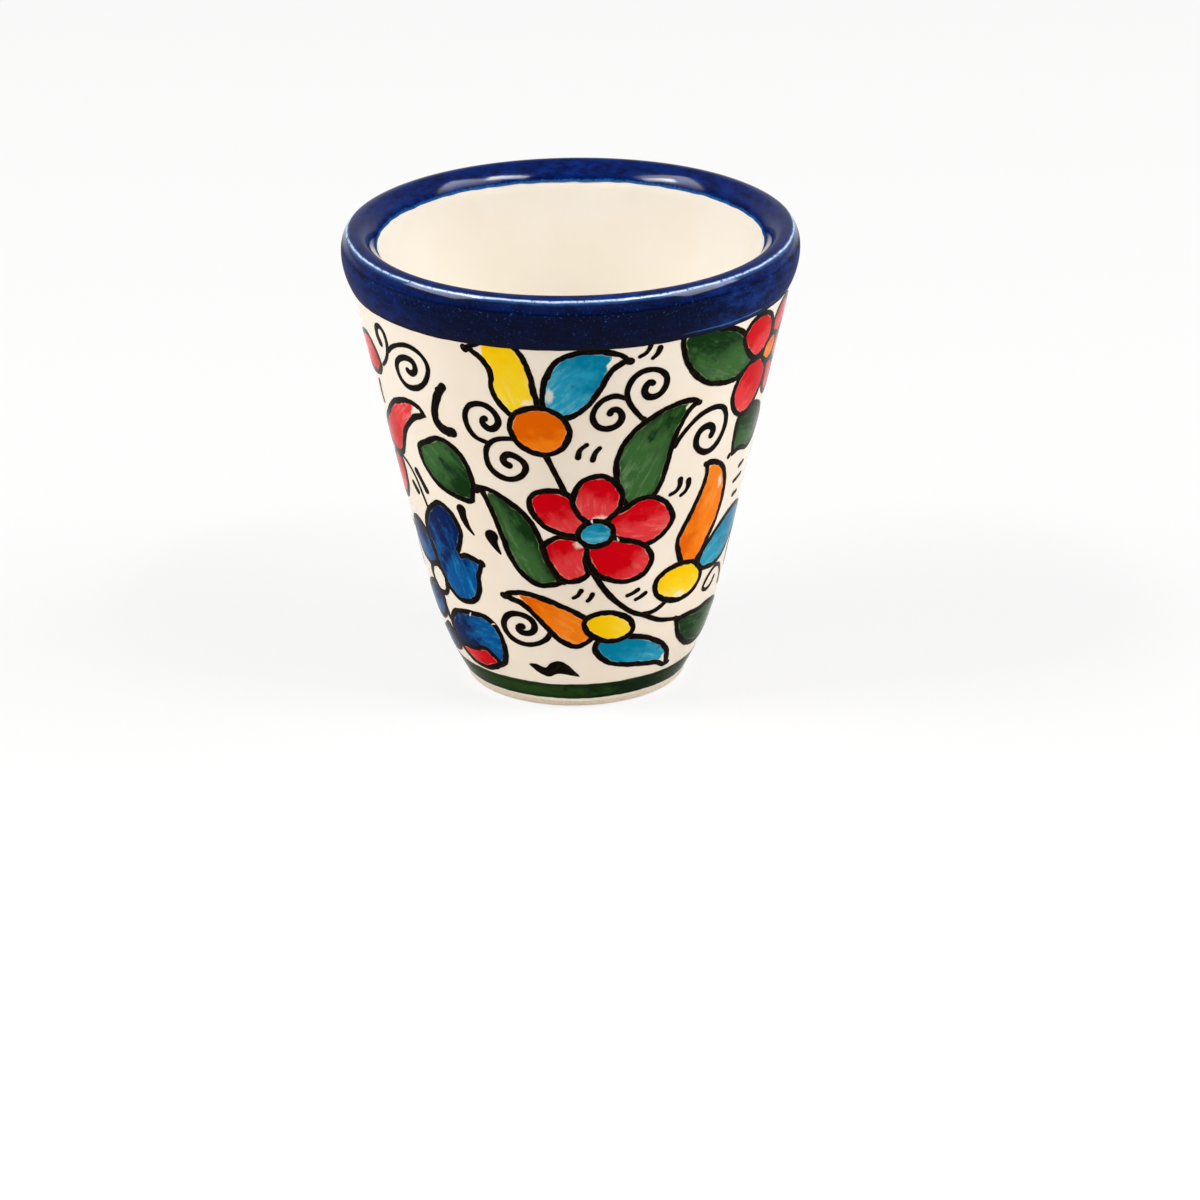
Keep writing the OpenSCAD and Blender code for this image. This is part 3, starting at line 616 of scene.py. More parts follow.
# Painted shapes, the nearest brush mark first
FLOWERS = [
    # Red flower with a turquoise centre
    heart("turquoise", 7, 46.4, 6.8, 4.6, 0, 90, 0.35),
    petal("red", [(7, 64.3), (12.5, 62.4), (16, 57.5), (14, 51.6), (8, 48.5), (2.5, 50), (-1.5, 55.8),
        (1, 61.8)], 70, 0.5),
    petal("red", [(4.2, 43.5), (3, 39.5), (5.5, 35), (10.5, 32), (18, 30.6), (25, 31.8), (28.6, 36),
        (27, 40), (22.5, 43), (16, 44.9), (9, 46)], 140, 0.75),
    petal("red", [(-2, 59.2), (-8, 60.1), (-13, 58.7), (-15.2, 55), (-13, 50.5), (-8, 47), (0, 45.3),
        (5, 47.5), (3, 54)], 120, 0.6),
    petal("red", [(10, 51), (15.5, 54), (21, 56.3), (27, 55.8), (32, 52.6), (35, 48), (32.5, 44),
        (27, 41.2), (21, 41.5), (13, 44)], 100, 0.5),
    petal("red", [(-11.3, 43.4), (-5.5, 46.3), (2, 45.7), (5.2, 42), (4.5, 38), (5.6, 34.4), (1.5, 31.8),
        (-4, 31.9), (-8, 34.8), (-10.8, 39.4)], 110, 0.42),
    # Red flower with an orange centre, under the band at the right
    heart("orange", 70, 86.8, 6, 4.3, 0, 60, 0.5),
    petal("red", [(51, 95.2), (53.5, 98.8), (58, 100.3), (64, 98.8), (68.3, 94.5), (67.5, 88.5), (62, 86.4),
        (57.5, 86.9), (53, 91)], 100, 0.6),
    petal("red", [(50.7, 79), (52.5, 83.5), (57, 86.6), (64, 87), (69.5, 83), (70.5, 78), (67, 73.2),
        (60.5, 70.4), (54.5, 72.4), (51.6, 75.6)], 60, 0.6),
    petal("red", [(68, 93), (69.5, 97.4), (74, 99.6), (80, 98.8), (83.5, 95), (80, 90.6),
        (72, 88)]),
    petal("red", [(73, 86.5), (78.5, 90), (84.5, 90), (88, 85.5), (86, 80.5), (80.5, 79),
        (74.5, 82)], 70, 0.55),
    petal("red", [(70, 83), (69.8, 78), (71.5, 74), (76, 72), (80.5, 74), (81, 78.5),
        (77.5, 82.5)], 110, 0.5),
    # Blue flower with a bare heart, at the left
    heart("bare", -62.2, 24.7, 6.8, 4.9, 0),
    petal("blue", [(-33.4, 35.3, 0.1), (-36, 30.5), (-36.6, 26.5), (-39.5, 22.8), (-45, 20.8), (-51, 21),
        (-56.5, 23.8), (-60, 29), (-61, 33.5), (-63.2, 38.6), (-60.5, 44), (-54.8, 48.3), (-49.5, 50.4),
        (-44, 48.5), (-40.8, 43.5), (-42.4, 38.6), (-44.6, 35.9, 0.1), (-40.5, 36.9)], 120, 0.5),
    petal("blue", [(-59, 31.5), (-62.5, 38.5), (-69, 41), (-75, 39.6), (-79, 35), (-76, 29.6), (-69, 27.4),
        (-62.5, 27.5)], 100, 0.5),
    petal("blue", [(-62, 21), (-61.8, 16.5), (-65, 12.8), (-72, 10.8), (-79, 12.5), (-81, 17), (-75, 21.5),
        (-67, 23)], 80, 0.45),
    # Blue petal with a red one folded under it
    petal("red", [(-61, 5.5), (-56, 7.4), (-49.5, 7.4), (-43.5, 8.7), (-39, 8), (-33.6, 4.3, 0.3),
        (-38.5, 1.8), (-46, 0.7), (-55, 1.6)], 0, 0.6),
    petal("blue", [(-62.7, 11.8), (-57, 16.8), (-50, 18.5), (-43, 19.2), (-36.6, 19), (-32, 16.4),
        (-29.6, 10.6), (-31.4, 4.8), (-40, 2), (-50, 2.5), (-60, 6)], 200, 0.5),
    petal("blue", [(-62, 8.5), (-66, 11.2), (-72, 9.2), (-80, 6.6), (-85, 3.2, 0.3), (-76, 1.6), (-66, 2.4),
        (-61, 4.5)], 60, 0.5),
    # Red hooked petals at the left
    petal("red", [(-46.7, 75, 0.3), (-49.3, 77.8), (-55, 78.4), (-63, 76), (-71, 71), (-78.5, 66),
        (-82, 61.5), (-77, 58), (-67.5, 58.6), (-63.5, 61.8), (-59.2, 67.4), (-53.5, 71.9)], 200, 0.5, 2.6),
    petal("red", [(-69.5, 58), (-68.3, 53.5), (-71, 47.5), (-77, 44), (-83, 46.5), (-82.5, 53),
        (-77, 58)]),
    petal("red", [(-65.5, 84, 0.3), (-67.5, 88.6), (-72.5, 91.8), (-79, 90.6), (-86, 87.5), (-88.5, 83.5),
        (-83, 80.3), (-75, 79.6), (-69, 80.8)], 300, 0.4),
]
SPRIGS = [
    # Orange heart with its yellow and turquoise petals
    heart("orange", -9.5, 76.7, 9.4, 7.5, -8, 100, 0.7),
    petal("yellow", [(-29.2, 98.9, 0.2), (-24, 101.6), (-17, 102.6), (-13.2, 99.6), (-11, 95), (-9.6, 88.5),
        (-9.2, 83), (-14, 79), (-19.5, 81.6), (-22.8, 87), (-22.8, 92), (-24.8, 95.8)], 120, 0.4, 2),
    petal("turquoise", [(15.6, 96.2, 0.2), (11, 93.4), (7.3, 87), (3, 82.2), (-2, 79.8), (-8, 80.5),
        (-9, 85.5), (-8, 92), (-4.5, 97.5), (1, 100), (8, 100.3), (13, 98.6)], 50, 0.45, 2.4),
    # Yellow heart with orange and turquoise petals, low at the front
    heart("yellow", 13, 18, 11, 5.1, -7, 180, 0.6),
    petal("orange", [(-27.9, 26.4, 0.4), (-25.3, 28.2), (-19, 28.9), (-11, 27.6), (-3, 24.9), (4.6, 21.7),
        (9, 17.5), (6.5, 14), (1, 11.8), (-5, 12.8), (-10.5, 16.3), (-16, 21), (-21, 24.2),
        (-25.3, 25.2)], 150, 0.4, 1.9),
    petal("turquoise", [(46.2, 1.9, 0.2), (43.5, 7), (38, 10.6), (31, 13.3), (23.5, 15), (15, 16),
        (8.5, 14.6), (6.4, 11.8), (8.5, 8.5), (14, 5.9), (22, 4.5), (31, 3.6), (38, 2.8),
        (43, 1.3)], 130, 0.6, 1.8),
    # Yellow heart with orange and turquoise petals, at the right
    heart("yellow", 41.8, 27.5, 12.7, 6.2, -4, 90, 0.5),
    petal("orange", [(44.2, 61.3, 0.3), (46.3, 62), (51, 60.7), (56, 57), (58.6, 50.5), (57.5, 43),
        (53.5, 36.5), (48, 31), (42, 31), (37.8, 36), (36.7, 41), (39.5, 46), (43, 52),
        (45, 57.5)], 180, 0.35, 0.7),
    petal("turquoise", [(85, 38, 0.2), (79, 33), (72, 29), (64, 27.2), (56, 27.6), (49.5, 29.5), (50, 33.5),
        (55, 37.6), (61, 41), (68, 43), (77, 42.3)], 60, 0.6),
]
LEAVES = [
    # Leaves beside the red flower
    petal("green", [(38.3, 80.6, 0.2), (35, 82.6), (28, 82), (20, 78.6), (14.5, 73.5), (11.8, 67),
        (12.5, 60), (16, 54), (24, 53.5), (28.5, 59), (30.3, 66), (31.5, 71.5),
        (34.4, 77.6)], 45, 0.35, 1.5),
    petal("green", [(-32, 58.8, 0.2), (-27, 58.6), (-21, 56.2), (-15.2, 52.2), (-11.5, 47), (-9, 40.4),
        (-6.5, 35.2), (-3.4, 32, 0.4), (-8, 30.4), (-14.5, 30.6), (-20, 34), (-24, 39.5), (-26.3, 46.5),
        (-29.2, 54)], 30, 0.4, 1.6),
    petal("green", [(-31.8, 58.6, 0.3), (-32.8, 63.5), (-36.4, 68.4), (-43, 70.5), (-49.4, 68.3),
        (-54.7, 65), (-53.5, 59.5), (-48, 54.8), (-40.5, 52.9), (-34, 52.8)], 330, 0.5),
    # Leaves under the flower and the heart at the right
    petal("green", [(29, 102, 0.3), (29, 97.5), (31, 92.5), (34.5, 88), (40, 84.6), (47, 83), (53, 83.2),
        (59, 87, 0.4), (54.5, 93.5), (51, 97.5), (45, 100.4), (37, 102)], 90, 0.5, 0.7),
    petal("green", [(82, 64, 0.2), (76, 59.5), (69, 58.6), (63, 60), (57.9, 59.6, 0.3), (56.3, 66),
        (57.6, 72), (66, 73), (75, 70)], 90, 0.6),
    petal("green", [(86, 9.5, 0.2), (78, 5.6), (68, 4.2), (58, 4.8), (50, 7.5), (45, 11.2), (42.6, 16, 0.3),
        (48, 16.8), (57, 16.6), (66, 16.8), (77, 14.8)], 180, 0.5),
]
# Wave stroke over the green line
WAVES = [
    petal("black", [(-20.8, 6, 0.4), (-17.8, 6.4), (-13.5, 5.4), (-11, 7), (-7.3, 7.7), (-3.3, 6.4),
        (1.6, 2.6, 0.3), (-3, 3.1), (-8, 3.6), (-12, 2.4), (-16, 3.2)]),
]
# Brush strokes of each kind by their middle line: points, and how wide each end is against the kind's width
STEMS = [
    ([(-8.4, 70.4), (-6.6, 66.6), (-4.6, 62.6), (-2.6, 58.6)], 1.3, 1),
    ([(6.2, 35), (9.2, 31), (13, 27.2), (17.5, 24), (22, 21.6), (27, 20), (34, 17.6), (40, 16.6),
        (45, 16)], 1.2, 0.9),
    ([(26, 20.6), (30, 20.5), (33.3, 21.3), (37, 23)], 0.8, 1.1),
    ([(-69.5, 58.6), (-64.5, 57), (-61, 54), (-58.8, 49.6), (-57, 45.5)], 0.7, 0.8),
    ([(-64, 20.6), (-62.8, 17.4), (-62.3, 13)], 1, 1),
]
TENDRILS = [
    ([(-17.2, 74), (-21.5, 73.5), (-24.2, 72.3), (-26, 70.2), (-26.5, 67.5), (-25.8, 64.8),
        (-23.5, 62.8), (-20.4, 61.9), (-17.6, 62.3), (-15.4, 63.6), (-14.3, 65.5), (-14.8, 67.2),
        (-16.5, 68.5), (-18.5, 69.2), (-20.2, 68.9), (-21.1, 67.7), (-20.6, 66.5),
        (-19.4, 66)], 0.9, 1.2),
    ([(-25.2, 71.8), (-29.2, 73), (-31.3, 75.7), (-31.6, 79), (-30, 81.7), (-27.3, 82.9), (-24.5, 82.7),
        (-22.3, 81.1), (-21.3, 79), (-21.7, 77.4), (-23.2, 76.2), (-24.8, 76.2), (-26.1, 77.3),
        (-26.1, 78.4), (-25.3, 78.9)], 0.9, 1.2),
    ([(20, 78.6), (16.9, 82.1), (15.3, 84.6), (14.7, 86.8), (15, 88.8), (16.2, 91.1), (18.5, 92.7),
        (21.2, 93), (23.8, 92.2), (25.6, 90.4), (25.8, 88), (24.6, 85.9), (22.7, 85), (20.7, 85.3),
        (19.6, 86.7), (19.9, 88.4), (21, 89.4), (21.8, 89)], 0.9, 1.2),
    ([(14.4, 85.6), (11.6, 86.5), (9.2, 86), (7.4, 84.9), (5.9, 82.9), (5.4, 80.6), (6.4, 78.4),
        (8.4, 77.3), (10.7, 77.3), (12.6, 78.2), (13.6, 79.9), (13.2, 81.6), (12, 82.6), (10.7, 82.4),
        (10.2, 81.6)], 0.9, 1.2),
    ([(31, 69.2), (32.8, 71.8), (35.8, 74.6), (38.8, 76.5), (42.6, 77.4), (46, 77.2), (48.6, 75.9),
        (50.2, 73.2), (50.3, 70), (48.8, 67), (46.4, 65.2), (43.6, 64.8), (40.8, 65.9), (39, 67.8),
        (38.8, 70.2), (40, 71.9), (42.3, 72.6), (44.4, 71.9), (45.2, 70.4), (44.7, 69.4)], 0.9, 1.3),
    ([(-9.8, 16.6), (-11.7, 14.6), (-15.4, 13), (-20, 12.3), (-24, 12.8), (-27.2, 14.2), (-29, 16.5),
        (-28.7, 18.7), (-26.7, 20.6), (-23.6, 21.5), (-20.2, 21.3), (-17.4, 20.3), (-16.1, 18.6),
        (-16.7, 16.8), (-18.9, 15.9), (-21.3, 15.9), (-22.7, 16.7), (-22.4, 17.7),
        (-21.2, 17.8)], 0.9, 1.2),
    ([(74.5, 19.5), (73.4, 22.6), (69.6, 25.6), (65, 26.5), (61, 25.3), (58.2, 23.3), (57.6, 21.7),
        (60.5, 20.8), (64, 21.4), (66.2, 23.2)], 0.8, 0.7),
    ([(-58.6, 90.5), (-56.2, 92.3), (-53, 93.8), (-49.2, 94.8), (-45.8, 94.5), (-43.3, 93.1),
        (-42, 90.9), (-42.4, 88.4), (-44.3, 85.5), (-47.2, 83.4), (-50.4, 82.4), (-53.1, 82.5),
        (-55.2, 84), (-55.9, 86.4), (-55, 88.6), (-52.4, 90.4), (-49.6, 91), (-47.6, 90.4),
        (-47.1, 88.8), (-48, 87.4), (-49.6, 86.8), (-50.6, 87.3)], 0.8, 1.2),
    ([(-64.6, 84.9), (-62.3, 86.5), (-60.3, 88.6), (-59, 90.9), (-58.5, 93.5), (-59.1, 95.8),
        (-61, 96.8), (-62.9, 95.8), (-63.4, 93.6), (-62.5, 91.6)], 0.6, 1.3),
    ([(96, 34.6), (91.5, 35.2), (86.2, 34.4), (81.6, 31), (80.6, 26.6), (84, 22.4), (89.6, 21.4),
        (94, 23.6), (95, 27.2), (92.4, 30.2), (88.4, 30), (86.6, 27.4), (88.8, 25.6)], 0.8, 1.2),
]
DASHES = [
    ([(3.8, 72.8), (1.9, 71.3), (1.3, 69.2)], 0.9, 1.1),
    ([(7.6, 71.7), (6.3, 70.3), (5.6, 68.3)], 0.9, 1.1),
    ([(20.6, 101.5), (20.1, 99.4), (19.2, 98), (17.5, 97.1)], 1, 0.8),
    ([(23, 98.9), (22.4, 97.4), (21.1, 96.2)], 1.2, 0.8),
    ([(34.8, 58.8), (34.9, 57.1), (33.7, 55.6), (31.7, 55)], 1.2, 0.8),
    ([(38.2, 57.9), (38.4, 56.4), (37.5, 54.8), (35.9, 54)], 1.2, 0.8),
    ([(2.1, 29.5), (0.9, 28.1), (-0.7, 27.4)], 1, 0.7),
    ([(6.2, 28.3), (5.5, 27.2), (4.5, 26.4)], 1, 0.8),
    ([(19.3, 26.9), (21.4, 27.4), (23.4, 28.2)], 0.8, 0.9),
    ([(22.8, 25.3), (24.7, 25.9), (26.6, 26.8)], 0.8, 0.9),
    ([(-59.2, 56.4), (-57.2, 54), (-55.5, 51.7)], 1.4, 1.3),
    ([(-64, 51.6), (-62, 49.8)], 1.3, 1.3),
    ([(66.8, 54.5), (69.8, 55)], 1, 0.8),
    ([(64.6, 50.7), (67.5, 51), (70.6, 51.4)], 0.9, 0.7),
    ([(66.8, 46.3), (70, 46.5)], 1, 0.8),
    ([(-73.2, 77.8), (-74.3, 74.8), (-74.2, 71.8)], 1.1, 0.9),
    ([(-39.4, 50), (-39, 47.6), (-37.8, 45.2), (-35.9, 43.3)], 2.2, 0.5),
    ([(-28.7, 44), (-28.3, 42.3), (-27.3, 40.6), (-26.2, 39.2)], 2.6, 0.5),
    ([(87.4, 54.6), (87.9, 52.2), (89.2, 49.8), (90.8, 48)], 1.9, 0.4),
    ([(92.6, 59), (92.9, 56.8), (93.9, 54.6), (95.4, 53)], 1.9, 0.4),
    ([(92.4, 76.6), (90.2, 73.8), (88.4, 70.4), (88.2, 67.4), (89.8, 65.4), (92, 64.8)], 0.8, 1.6),
    ([(88.6, 16.4), (90.6, 15.2), (91.8, 13.4)], 1, 0.8),
    ([(92, 18), (94.2, 16.8), (95.6, 15)], 1, 0.8),
    ([(-37.8, 85.8), (-39.6, 83.8), (-41.4, 80.8), (-42.6, 77.8), (-42.7, 75.2), (-41.2, 73.4),
        (-39.2, 72.8), (-37.2, 72.8)], 1.6, 2),
]
# Blobs where the brush was set down: place on the grid and radius in millimetres
BLOBS = [
    (-28.6, 98.6, 0.62), (14.9, 96.2, 0.66), (-27, 26.5, 0.6), (37.6, 80.4, 0.5), (45.3, 2.3, 0.5),
    (-32, 57, 0.55), (-34.6, 34.9, 0.6), (44.6, 61, 0.45), (-8.4, 70, 0.55), (-3.9, 32.2, 0.45),
    (56.5, 60.2, 0.45), (20, 79, 0.45), (-9.8, 16.6, 0.5), (43, 16.2, 0.45), (-51.8, 66.2, 0.5),
    (-34.3, 53.7, 0.55), (-32.6, 58.4, 0.55), (-39.1, 72.5, 0.66), (-39.9, 73.3, 0.56), (-39.5, 84.2, 0.62),
]

# Breaks in the lines, and bare patches in the colours: place, length and width in millimetres, tilt
NICKS = [
    (-45.7, 17.7, 0.9, 0.3, 60), (-34.2, 16.8, 0.9, 0.25, 20), (14.5, 44.2, 0.8, 0.25, 110),
    (5.6, 50.2, 0.7, 0.3, 100),
]
PATCHES = [
    (-12.2, 84.6, 1.6, 0.9, 10), (-6.4, 87, 1, 1.8, 0), (1.8, 43.5, 1.4, 1, 20), (8.3, 50.8, 2, 0.8, 0),
    (42.4, 23.4, 2, 1, 0), (53.9, 53.9, 0.7, 1.8, 10),
]

FILL_NODE = {"red": "red_petals", "orange": "orange_petals", "yellow": "yellow_petals",
             "turquoise": "turquoise_petals", "blue": "blue_petals", "green": "green_leaves"}
STROKE_NODE = {"stem": "stems", "tendril": "tendrils", "dash": "dashes"}
LINE_NODES = ["flower_outlines", "sprig_outlines", "leaf_outlines", *STROKE_NODE.values()]

# The painted faces: where each is round the cup, and its seed
FACES = ((0, 21), (180, 34))

# Unsteadiness of the brush: how far edges and widths waver, in waves of these lengths in millimetres
EDGE_WAVER, EDGE_WAVES = 0.05, (3.4, 1.7, 0.9)
FILL_WAVER, FILL_WAVES = 0.16, (7, 3.6, 1.9)
LINE_WAVER, LINE_WAVES = 0.20, (9, 5, 2.6, 1.3)
STROKE_WAVER = 0.14
BLOB_WAVER = 0.12
GAP_WAVER = 0.2
FILL_LAP = 0.10
TIP_INSET = 1.6
TIP_FADE = 0.7
PALE_TOP = 1.6
PALE_FALL = 2

# Fineness of the painting
POINT_STEP = 0.28
INNER_STEP = 0.6
SHORE_STEP = 0.2
MAP_MERGE = 1e-4
MIDDLE_V = 50


# Brush marks in the flat, in millimetres round a middle on the grid

class Flat:
    """Lays a stretch of the grid flat round its middle."""

    def __init__(self, points):
        points = np.array([p[:2] for p in points], float)
        self.middle = (points.min(0) + points.max(0)) / 2

    def lay(self, grid):
        grid = np.asarray(grid, float)
        x, y = (grid - self.middle).T
        return np.stack([x * u_mm(grid[:, 1]), y * V_MM], 1)

    def lift(self, flat):
        v = flat[:, 1] / V_MM + self.middle[1]
        return np.stack([flat[:, 0] / u_mm(v) + self.middle[0], v], 1)


def smooth_run(points, closed):
    """A smooth curve through chosen points, evenly stepped, and its length."""
    p = np.array([q[:2] for q in points], float)
    bend = np.array([q[2] if len(q) > 2 else 1 for q in points])[:, None]
    n = len(p)
    if closed:
        tangent = (np.roll(p, -1, 0) - np.roll(p, 1, 0)) / 2 * bend
    else:
        tangent = np.gradient(p, axis=0) * bend
    t = np.linspace(0, 1, 24, endpoint=False)[:, None]
    run = []
    for i in range(n if closed else n - 1):
        j = (i + 1) % n
        run.append(p[i] * (2 * t ** 3 - 3 * t ** 2 + 1) + tangent[i] * (t ** 3 - 2 * t ** 2 + t)
                   + p[j] * (3 * t ** 2 - 2 * t ** 3) + tangent[j] * (t ** 3 - t ** 2))
    run = np.concatenate(run + [p[:1] if closed else p[-1:]])
    length = lengths(run)
    count = max(8, int(length[-1] / POINT_STEP))
    at = np.linspace(0, length[-1], count, endpoint=not closed)
    return stepped(run, length, at), length[-1]


def waver(draw, count, length, waves=LINE_WAVES):
    """A brush's unsteadiness along a line, about -1 to 1, with waves of these lengths in millimetres."""
    at = np.arange(count) / count * 2 * math.pi
    total = np.zeros(count)
    for wave in waves:
        turns = max(1, round(length / wave))
        total += wave ** 0.35 * np.sin(turns * at + draw.uniform(0, 2 * math.pi))
    return total / sum(wave ** 0.35 for wave in waves)


def inward(loop):
    run = unit(np.roll(loop, -1, 0) - np.roll(loop, 1, 0))
    return np.stack([-run[:, 1], run[:, 0]], 1)


def reach(points, line, closed=True):
    """The least distance from each point to a line."""
    a = line if closed else line[:-1]
    b = np.roll(line, -1, 0) if closed else line[1:]
    run = b - a
    away = points[:, None] - a[None]
    share = np.clip((away * run).sum(2) / np.maximum((run ** 2).sum(1), TINY), 0, 1)
    return np.sqrt(((away - share[..., None] * run) ** 2).sum(2)).min(1)


def inset(loop, width):
    """A loop moved inward, without the points that fold over at a corner."""
    moved = loop + inward(loop) * np.reshape(width, (-1, 1))
    kept = moved[reach(moved, loop) > np.broadcast_to(width, len(loop)) * 0.96]
    return kept if len(kept) > 5 else moved


def counter_clockwise(loop):
    x, y = loop[:, 0], loop[:, 1]
    return loop if (x * np.roll(y, -1) - np.roll(x, -1) * y).sum() > 0 else loop[::-1]


def new_mark(draw, flat, outer, line_node, fill_node=None, **more):
    return {"flat": flat, "outer": outer, "line_node": line_node, "fill_node": fill_node,
            "seed": draw.uniform(0, 90), **more}


def shape_mark(shape, line_node, draw):
    """The loops of an outlined shape: its outer edge, the line's inner edge and the colour's edge."""
    flat = Flat(shape["points"])
    corner = flat.lay([p[:2] for p in shape["points"]])
    bends = [p[2:] for p in shape["points"]]
    outer, length = smooth_run([(*c, *b) for c, b in zip(corner.tolist(), bends)], True)
    outer = counter_clockwise(outer)
    count = len(outer)
    outer = outer - inward(outer) * (EDGE_WAVER * waver(draw, count, length, EDGE_WAVES))[:, None]
    mark = new_mark(draw, flat, outer, line_node, FILL_NODE.get(shape["colour"]), shape=shape)
    if shape["colour"] == "black":
        return mark
    width = LINE_W * (1 + LINE_WAVER * waver(draw, count, length))
    mark["inner"] = inset(outer, width)
    if mark["fill_node"]:
        gap = width - FILL_LAP + FILL_WAVER * waver(draw, count, length, FILL_WAVES)
        if shape["tip"]:
            point = next(c for c, b in zip(corner, bends) if b)
            away = np.linalg.norm(outer - point, axis=1)
            gap = gap + TIP_INSET * np.clip((shape["tip"] + TIP_FADE - away) / TIP_FADE, 0, 1)
        mark["fill"] = inset(outer, gap)
    return mark


def stroke_mark(kind, points, first, last, draw):
    """The loop of a brush stroke with round ends."""
    flat = Flat(points)
    run, length = smooth_run(flat.lay(points).tolist(), False)
    count = len(run)
    steady = STROKE_W[kind] / 2 * np.linspace(first, last, count)
    half = steady * (1 + STROKE_WAVER * waver(draw, count, length))
    ahead = unit(np.gradient(run, axis=0))
    left = np.stack([-ahead[:, 1], ahead[:, 0]], 1)
    turn = np.linspace(math.pi / 2, -math.pi / 2, 9)[1:-1, None]
    cap_end = run[-1] + half[-1] * (np.cos(turn) * ahead[-1] + np.sin(turn) * left[-1])
    cap_start = run[0] - half[0] * (np.cos(turn) * ahead[0] + np.sin(turn) * left[0])
    aside = left * half[:, None]
    loop = np.concatenate([run + aside, cap_end, (run - aside)[::-1], cap_start])
    return new_mark(draw, flat, loop[::-1], STROKE_NODE[kind], path=run)


def blob_mark(u, v, radius, draw):
    turn = round_way(18)
    size = radius * (1 + BLOB_WAVER * np.sin(2 * turn + draw.uniform(0, 6)))
    loop = np.stack([size * np.cos(turn), size * np.sin(turn)], 1)
    return new_mark(draw, Flat([(u, v)]), loop, "sprig_outlines")


def gap_loop(u, v, length, width, tilt, draw):
    """A ragged oval on the grid where the brush missed."""
    turn, lean = round_way(16), math.radians(tilt)
    size = 0.5 * (1 + GAP_WAVER * np.sin(3 * turn + draw.uniform(0, 6)))
    x, y = length * size * np.cos(turn), width * size * np.sin(turn)
    flat = np.stack([x * math.cos(lean) - y * math.sin(lean), x * math.sin(lean) + y * math.cos(lean)], 1)
    return Flat([(u, v)]).lift(flat)


def inside(points, loop):
    """Which points a counter-clockwise loop winds round."""
    a, b = loop, np.roll(loop, -1, 0)
    x, y = points[:, :1], points[:, 1:]
    turn = (b[:, 0] - a[:, 0]) * (y - a[:, 1]) - (x - a[:, 0]) * (b[:, 1] - a[:, 1])
    up = (a[:, 1] <= y) & (b[:, 1] > y) & (turn > 0)
    down = (a[:, 1] > y) & (b[:, 1] <= y) & (turn < 0)
    return up.sum(1) - down.sum(1) > 0


def dots(loop, step):
    """A staggered field of points inside a loop."""
    low, high = loop.min(0), loop.max(0)
    rows = np.arange(low[1], high[1], step * 0.87)
    row = np.arange(low[0], high[0], step)
    field = [(x + (i % 2) * step / 2, y) for i, y in enumerate(rows) for x in row]
    field = np.array(field or [loop.mean(0)])
    field = field[inside(field, loop)]
    return field[reach(field, loop) > step * 0.4] if len(field) else field


def face_marks(seed):
    """Every brush mark of one face of the cup, the nearest first."""
    draw = np.random.default_rng(seed)
    marks = []
    for shapes, node in ((FLOWERS, "flower_outlines"), (SPRIGS, "sprig_outlines"),
                         (LEAVES, "leaf_outlines"), (WAVES, "dashes")):
        marks += [shape_mark(shape, node, draw) for shape in shapes]
    marks += [blob_mark(u, v, radius, draw) for u, v, radius in BLOBS]
    for kind, strokes in (("stem", STEMS), ("tendril", TENDRILS), ("dash", DASHES)):
        marks += [stroke_mark(kind, *stroke, draw) for stroke in strokes]
    return marks, [gap_loop(*gap, draw) for gap in NICKS]


def flat_map(marks, nicks):
    """Triangles of the whole face on the grid, cut along every edge of every mark and nick."""
    points, edges = [], []

    def cut(loop):
        first = len(points)
        points.extend(loop.tolist())
        edges.extend((first + i, first + (i + 1) % len(loop)) for i in range(len(loop)))

    for loop in nicks:
        cut(loop)
    for mark in marks:
        for name in ("outer", "inner", "fill"):
            if name in mark:
                mark[name + "_grid"] = mark["flat"].lift(mark[name])
                cut(mark[name + "_grid"])
        within = []
        if mark["fill_node"]:
            within += [inset(mark["fill"], SHORE_STEP)[::2], dots(mark["fill"], INNER_STEP)]
        if "inner" in mark:
            within.append(inset(mark["outer"], LINE_W / 2)[::2])
        elif "path" in mark:
            within.append(mark["path"][::2])
        else:
            within.append(dots(mark["outer"], LINE_W / 2))
        for flat in within:
            points += mark["flat"].lift(flat).tolist()
    stretch = np.array([u_mm(MIDDLE_V), V_MM])
    given = [Vector(p) for p in (np.array(points) * stretch).tolist()]
    found = delaunay_2d_cdt(given, edges, [], 0, MAP_MERGE)
    grid = np.array([tuple(p) for p in found[0]]) / stretch
    return grid, np.array(found[2])


def sort_triangles(marks, nicks, grid, triangles):
    """For each mark, the triangles that show its line and those that show its colour."""
    centre = grid[triangles].mean(1)
    free = ~np.any([inside(centre, loop) for loop in nicks], axis=0)
    for mark in marks:
        loop = mark["outer_grid"]
        low, high = loop.min(0), loop.max(0)
        near = np.flatnonzero(free & (centre > low).all(1) & (centre < high).all(1))
        near = near[inside(centre[near], loop)]
        free[near] = False
        if "inner" not in mark:
            mark["line"] = near
            continue
        within = inside(centre[near], mark["inner_grid"])
        mark["line"] = near[~within]
        if mark["fill_node"]:
            open_ = near[within]
            mark["colour"] = open_[inside(centre[open_], mark["fill_grid"])]


def wall_point(grid, proud):
    """Places on the wall, in millimetres, of points on the grid."""
    z = height(grid[:, 1])
    r = wall_r(z) + unevenness(grid[:, 0], z) + proud
    a = np.radians(grid[:, 0])
    return np.stack([r * np.sin(a), -r * np.cos(a), z], 1)


def wall_normal(grid):
    step = 0.05
    across = wall_point(grid + [step, 0], 0) - wall_point(grid - [step, 0], 0)
    up = wall_point(grid + [0, step], 0) - wall_point(grid - [0, step], 0)
    return unit(np.cross(across, up))


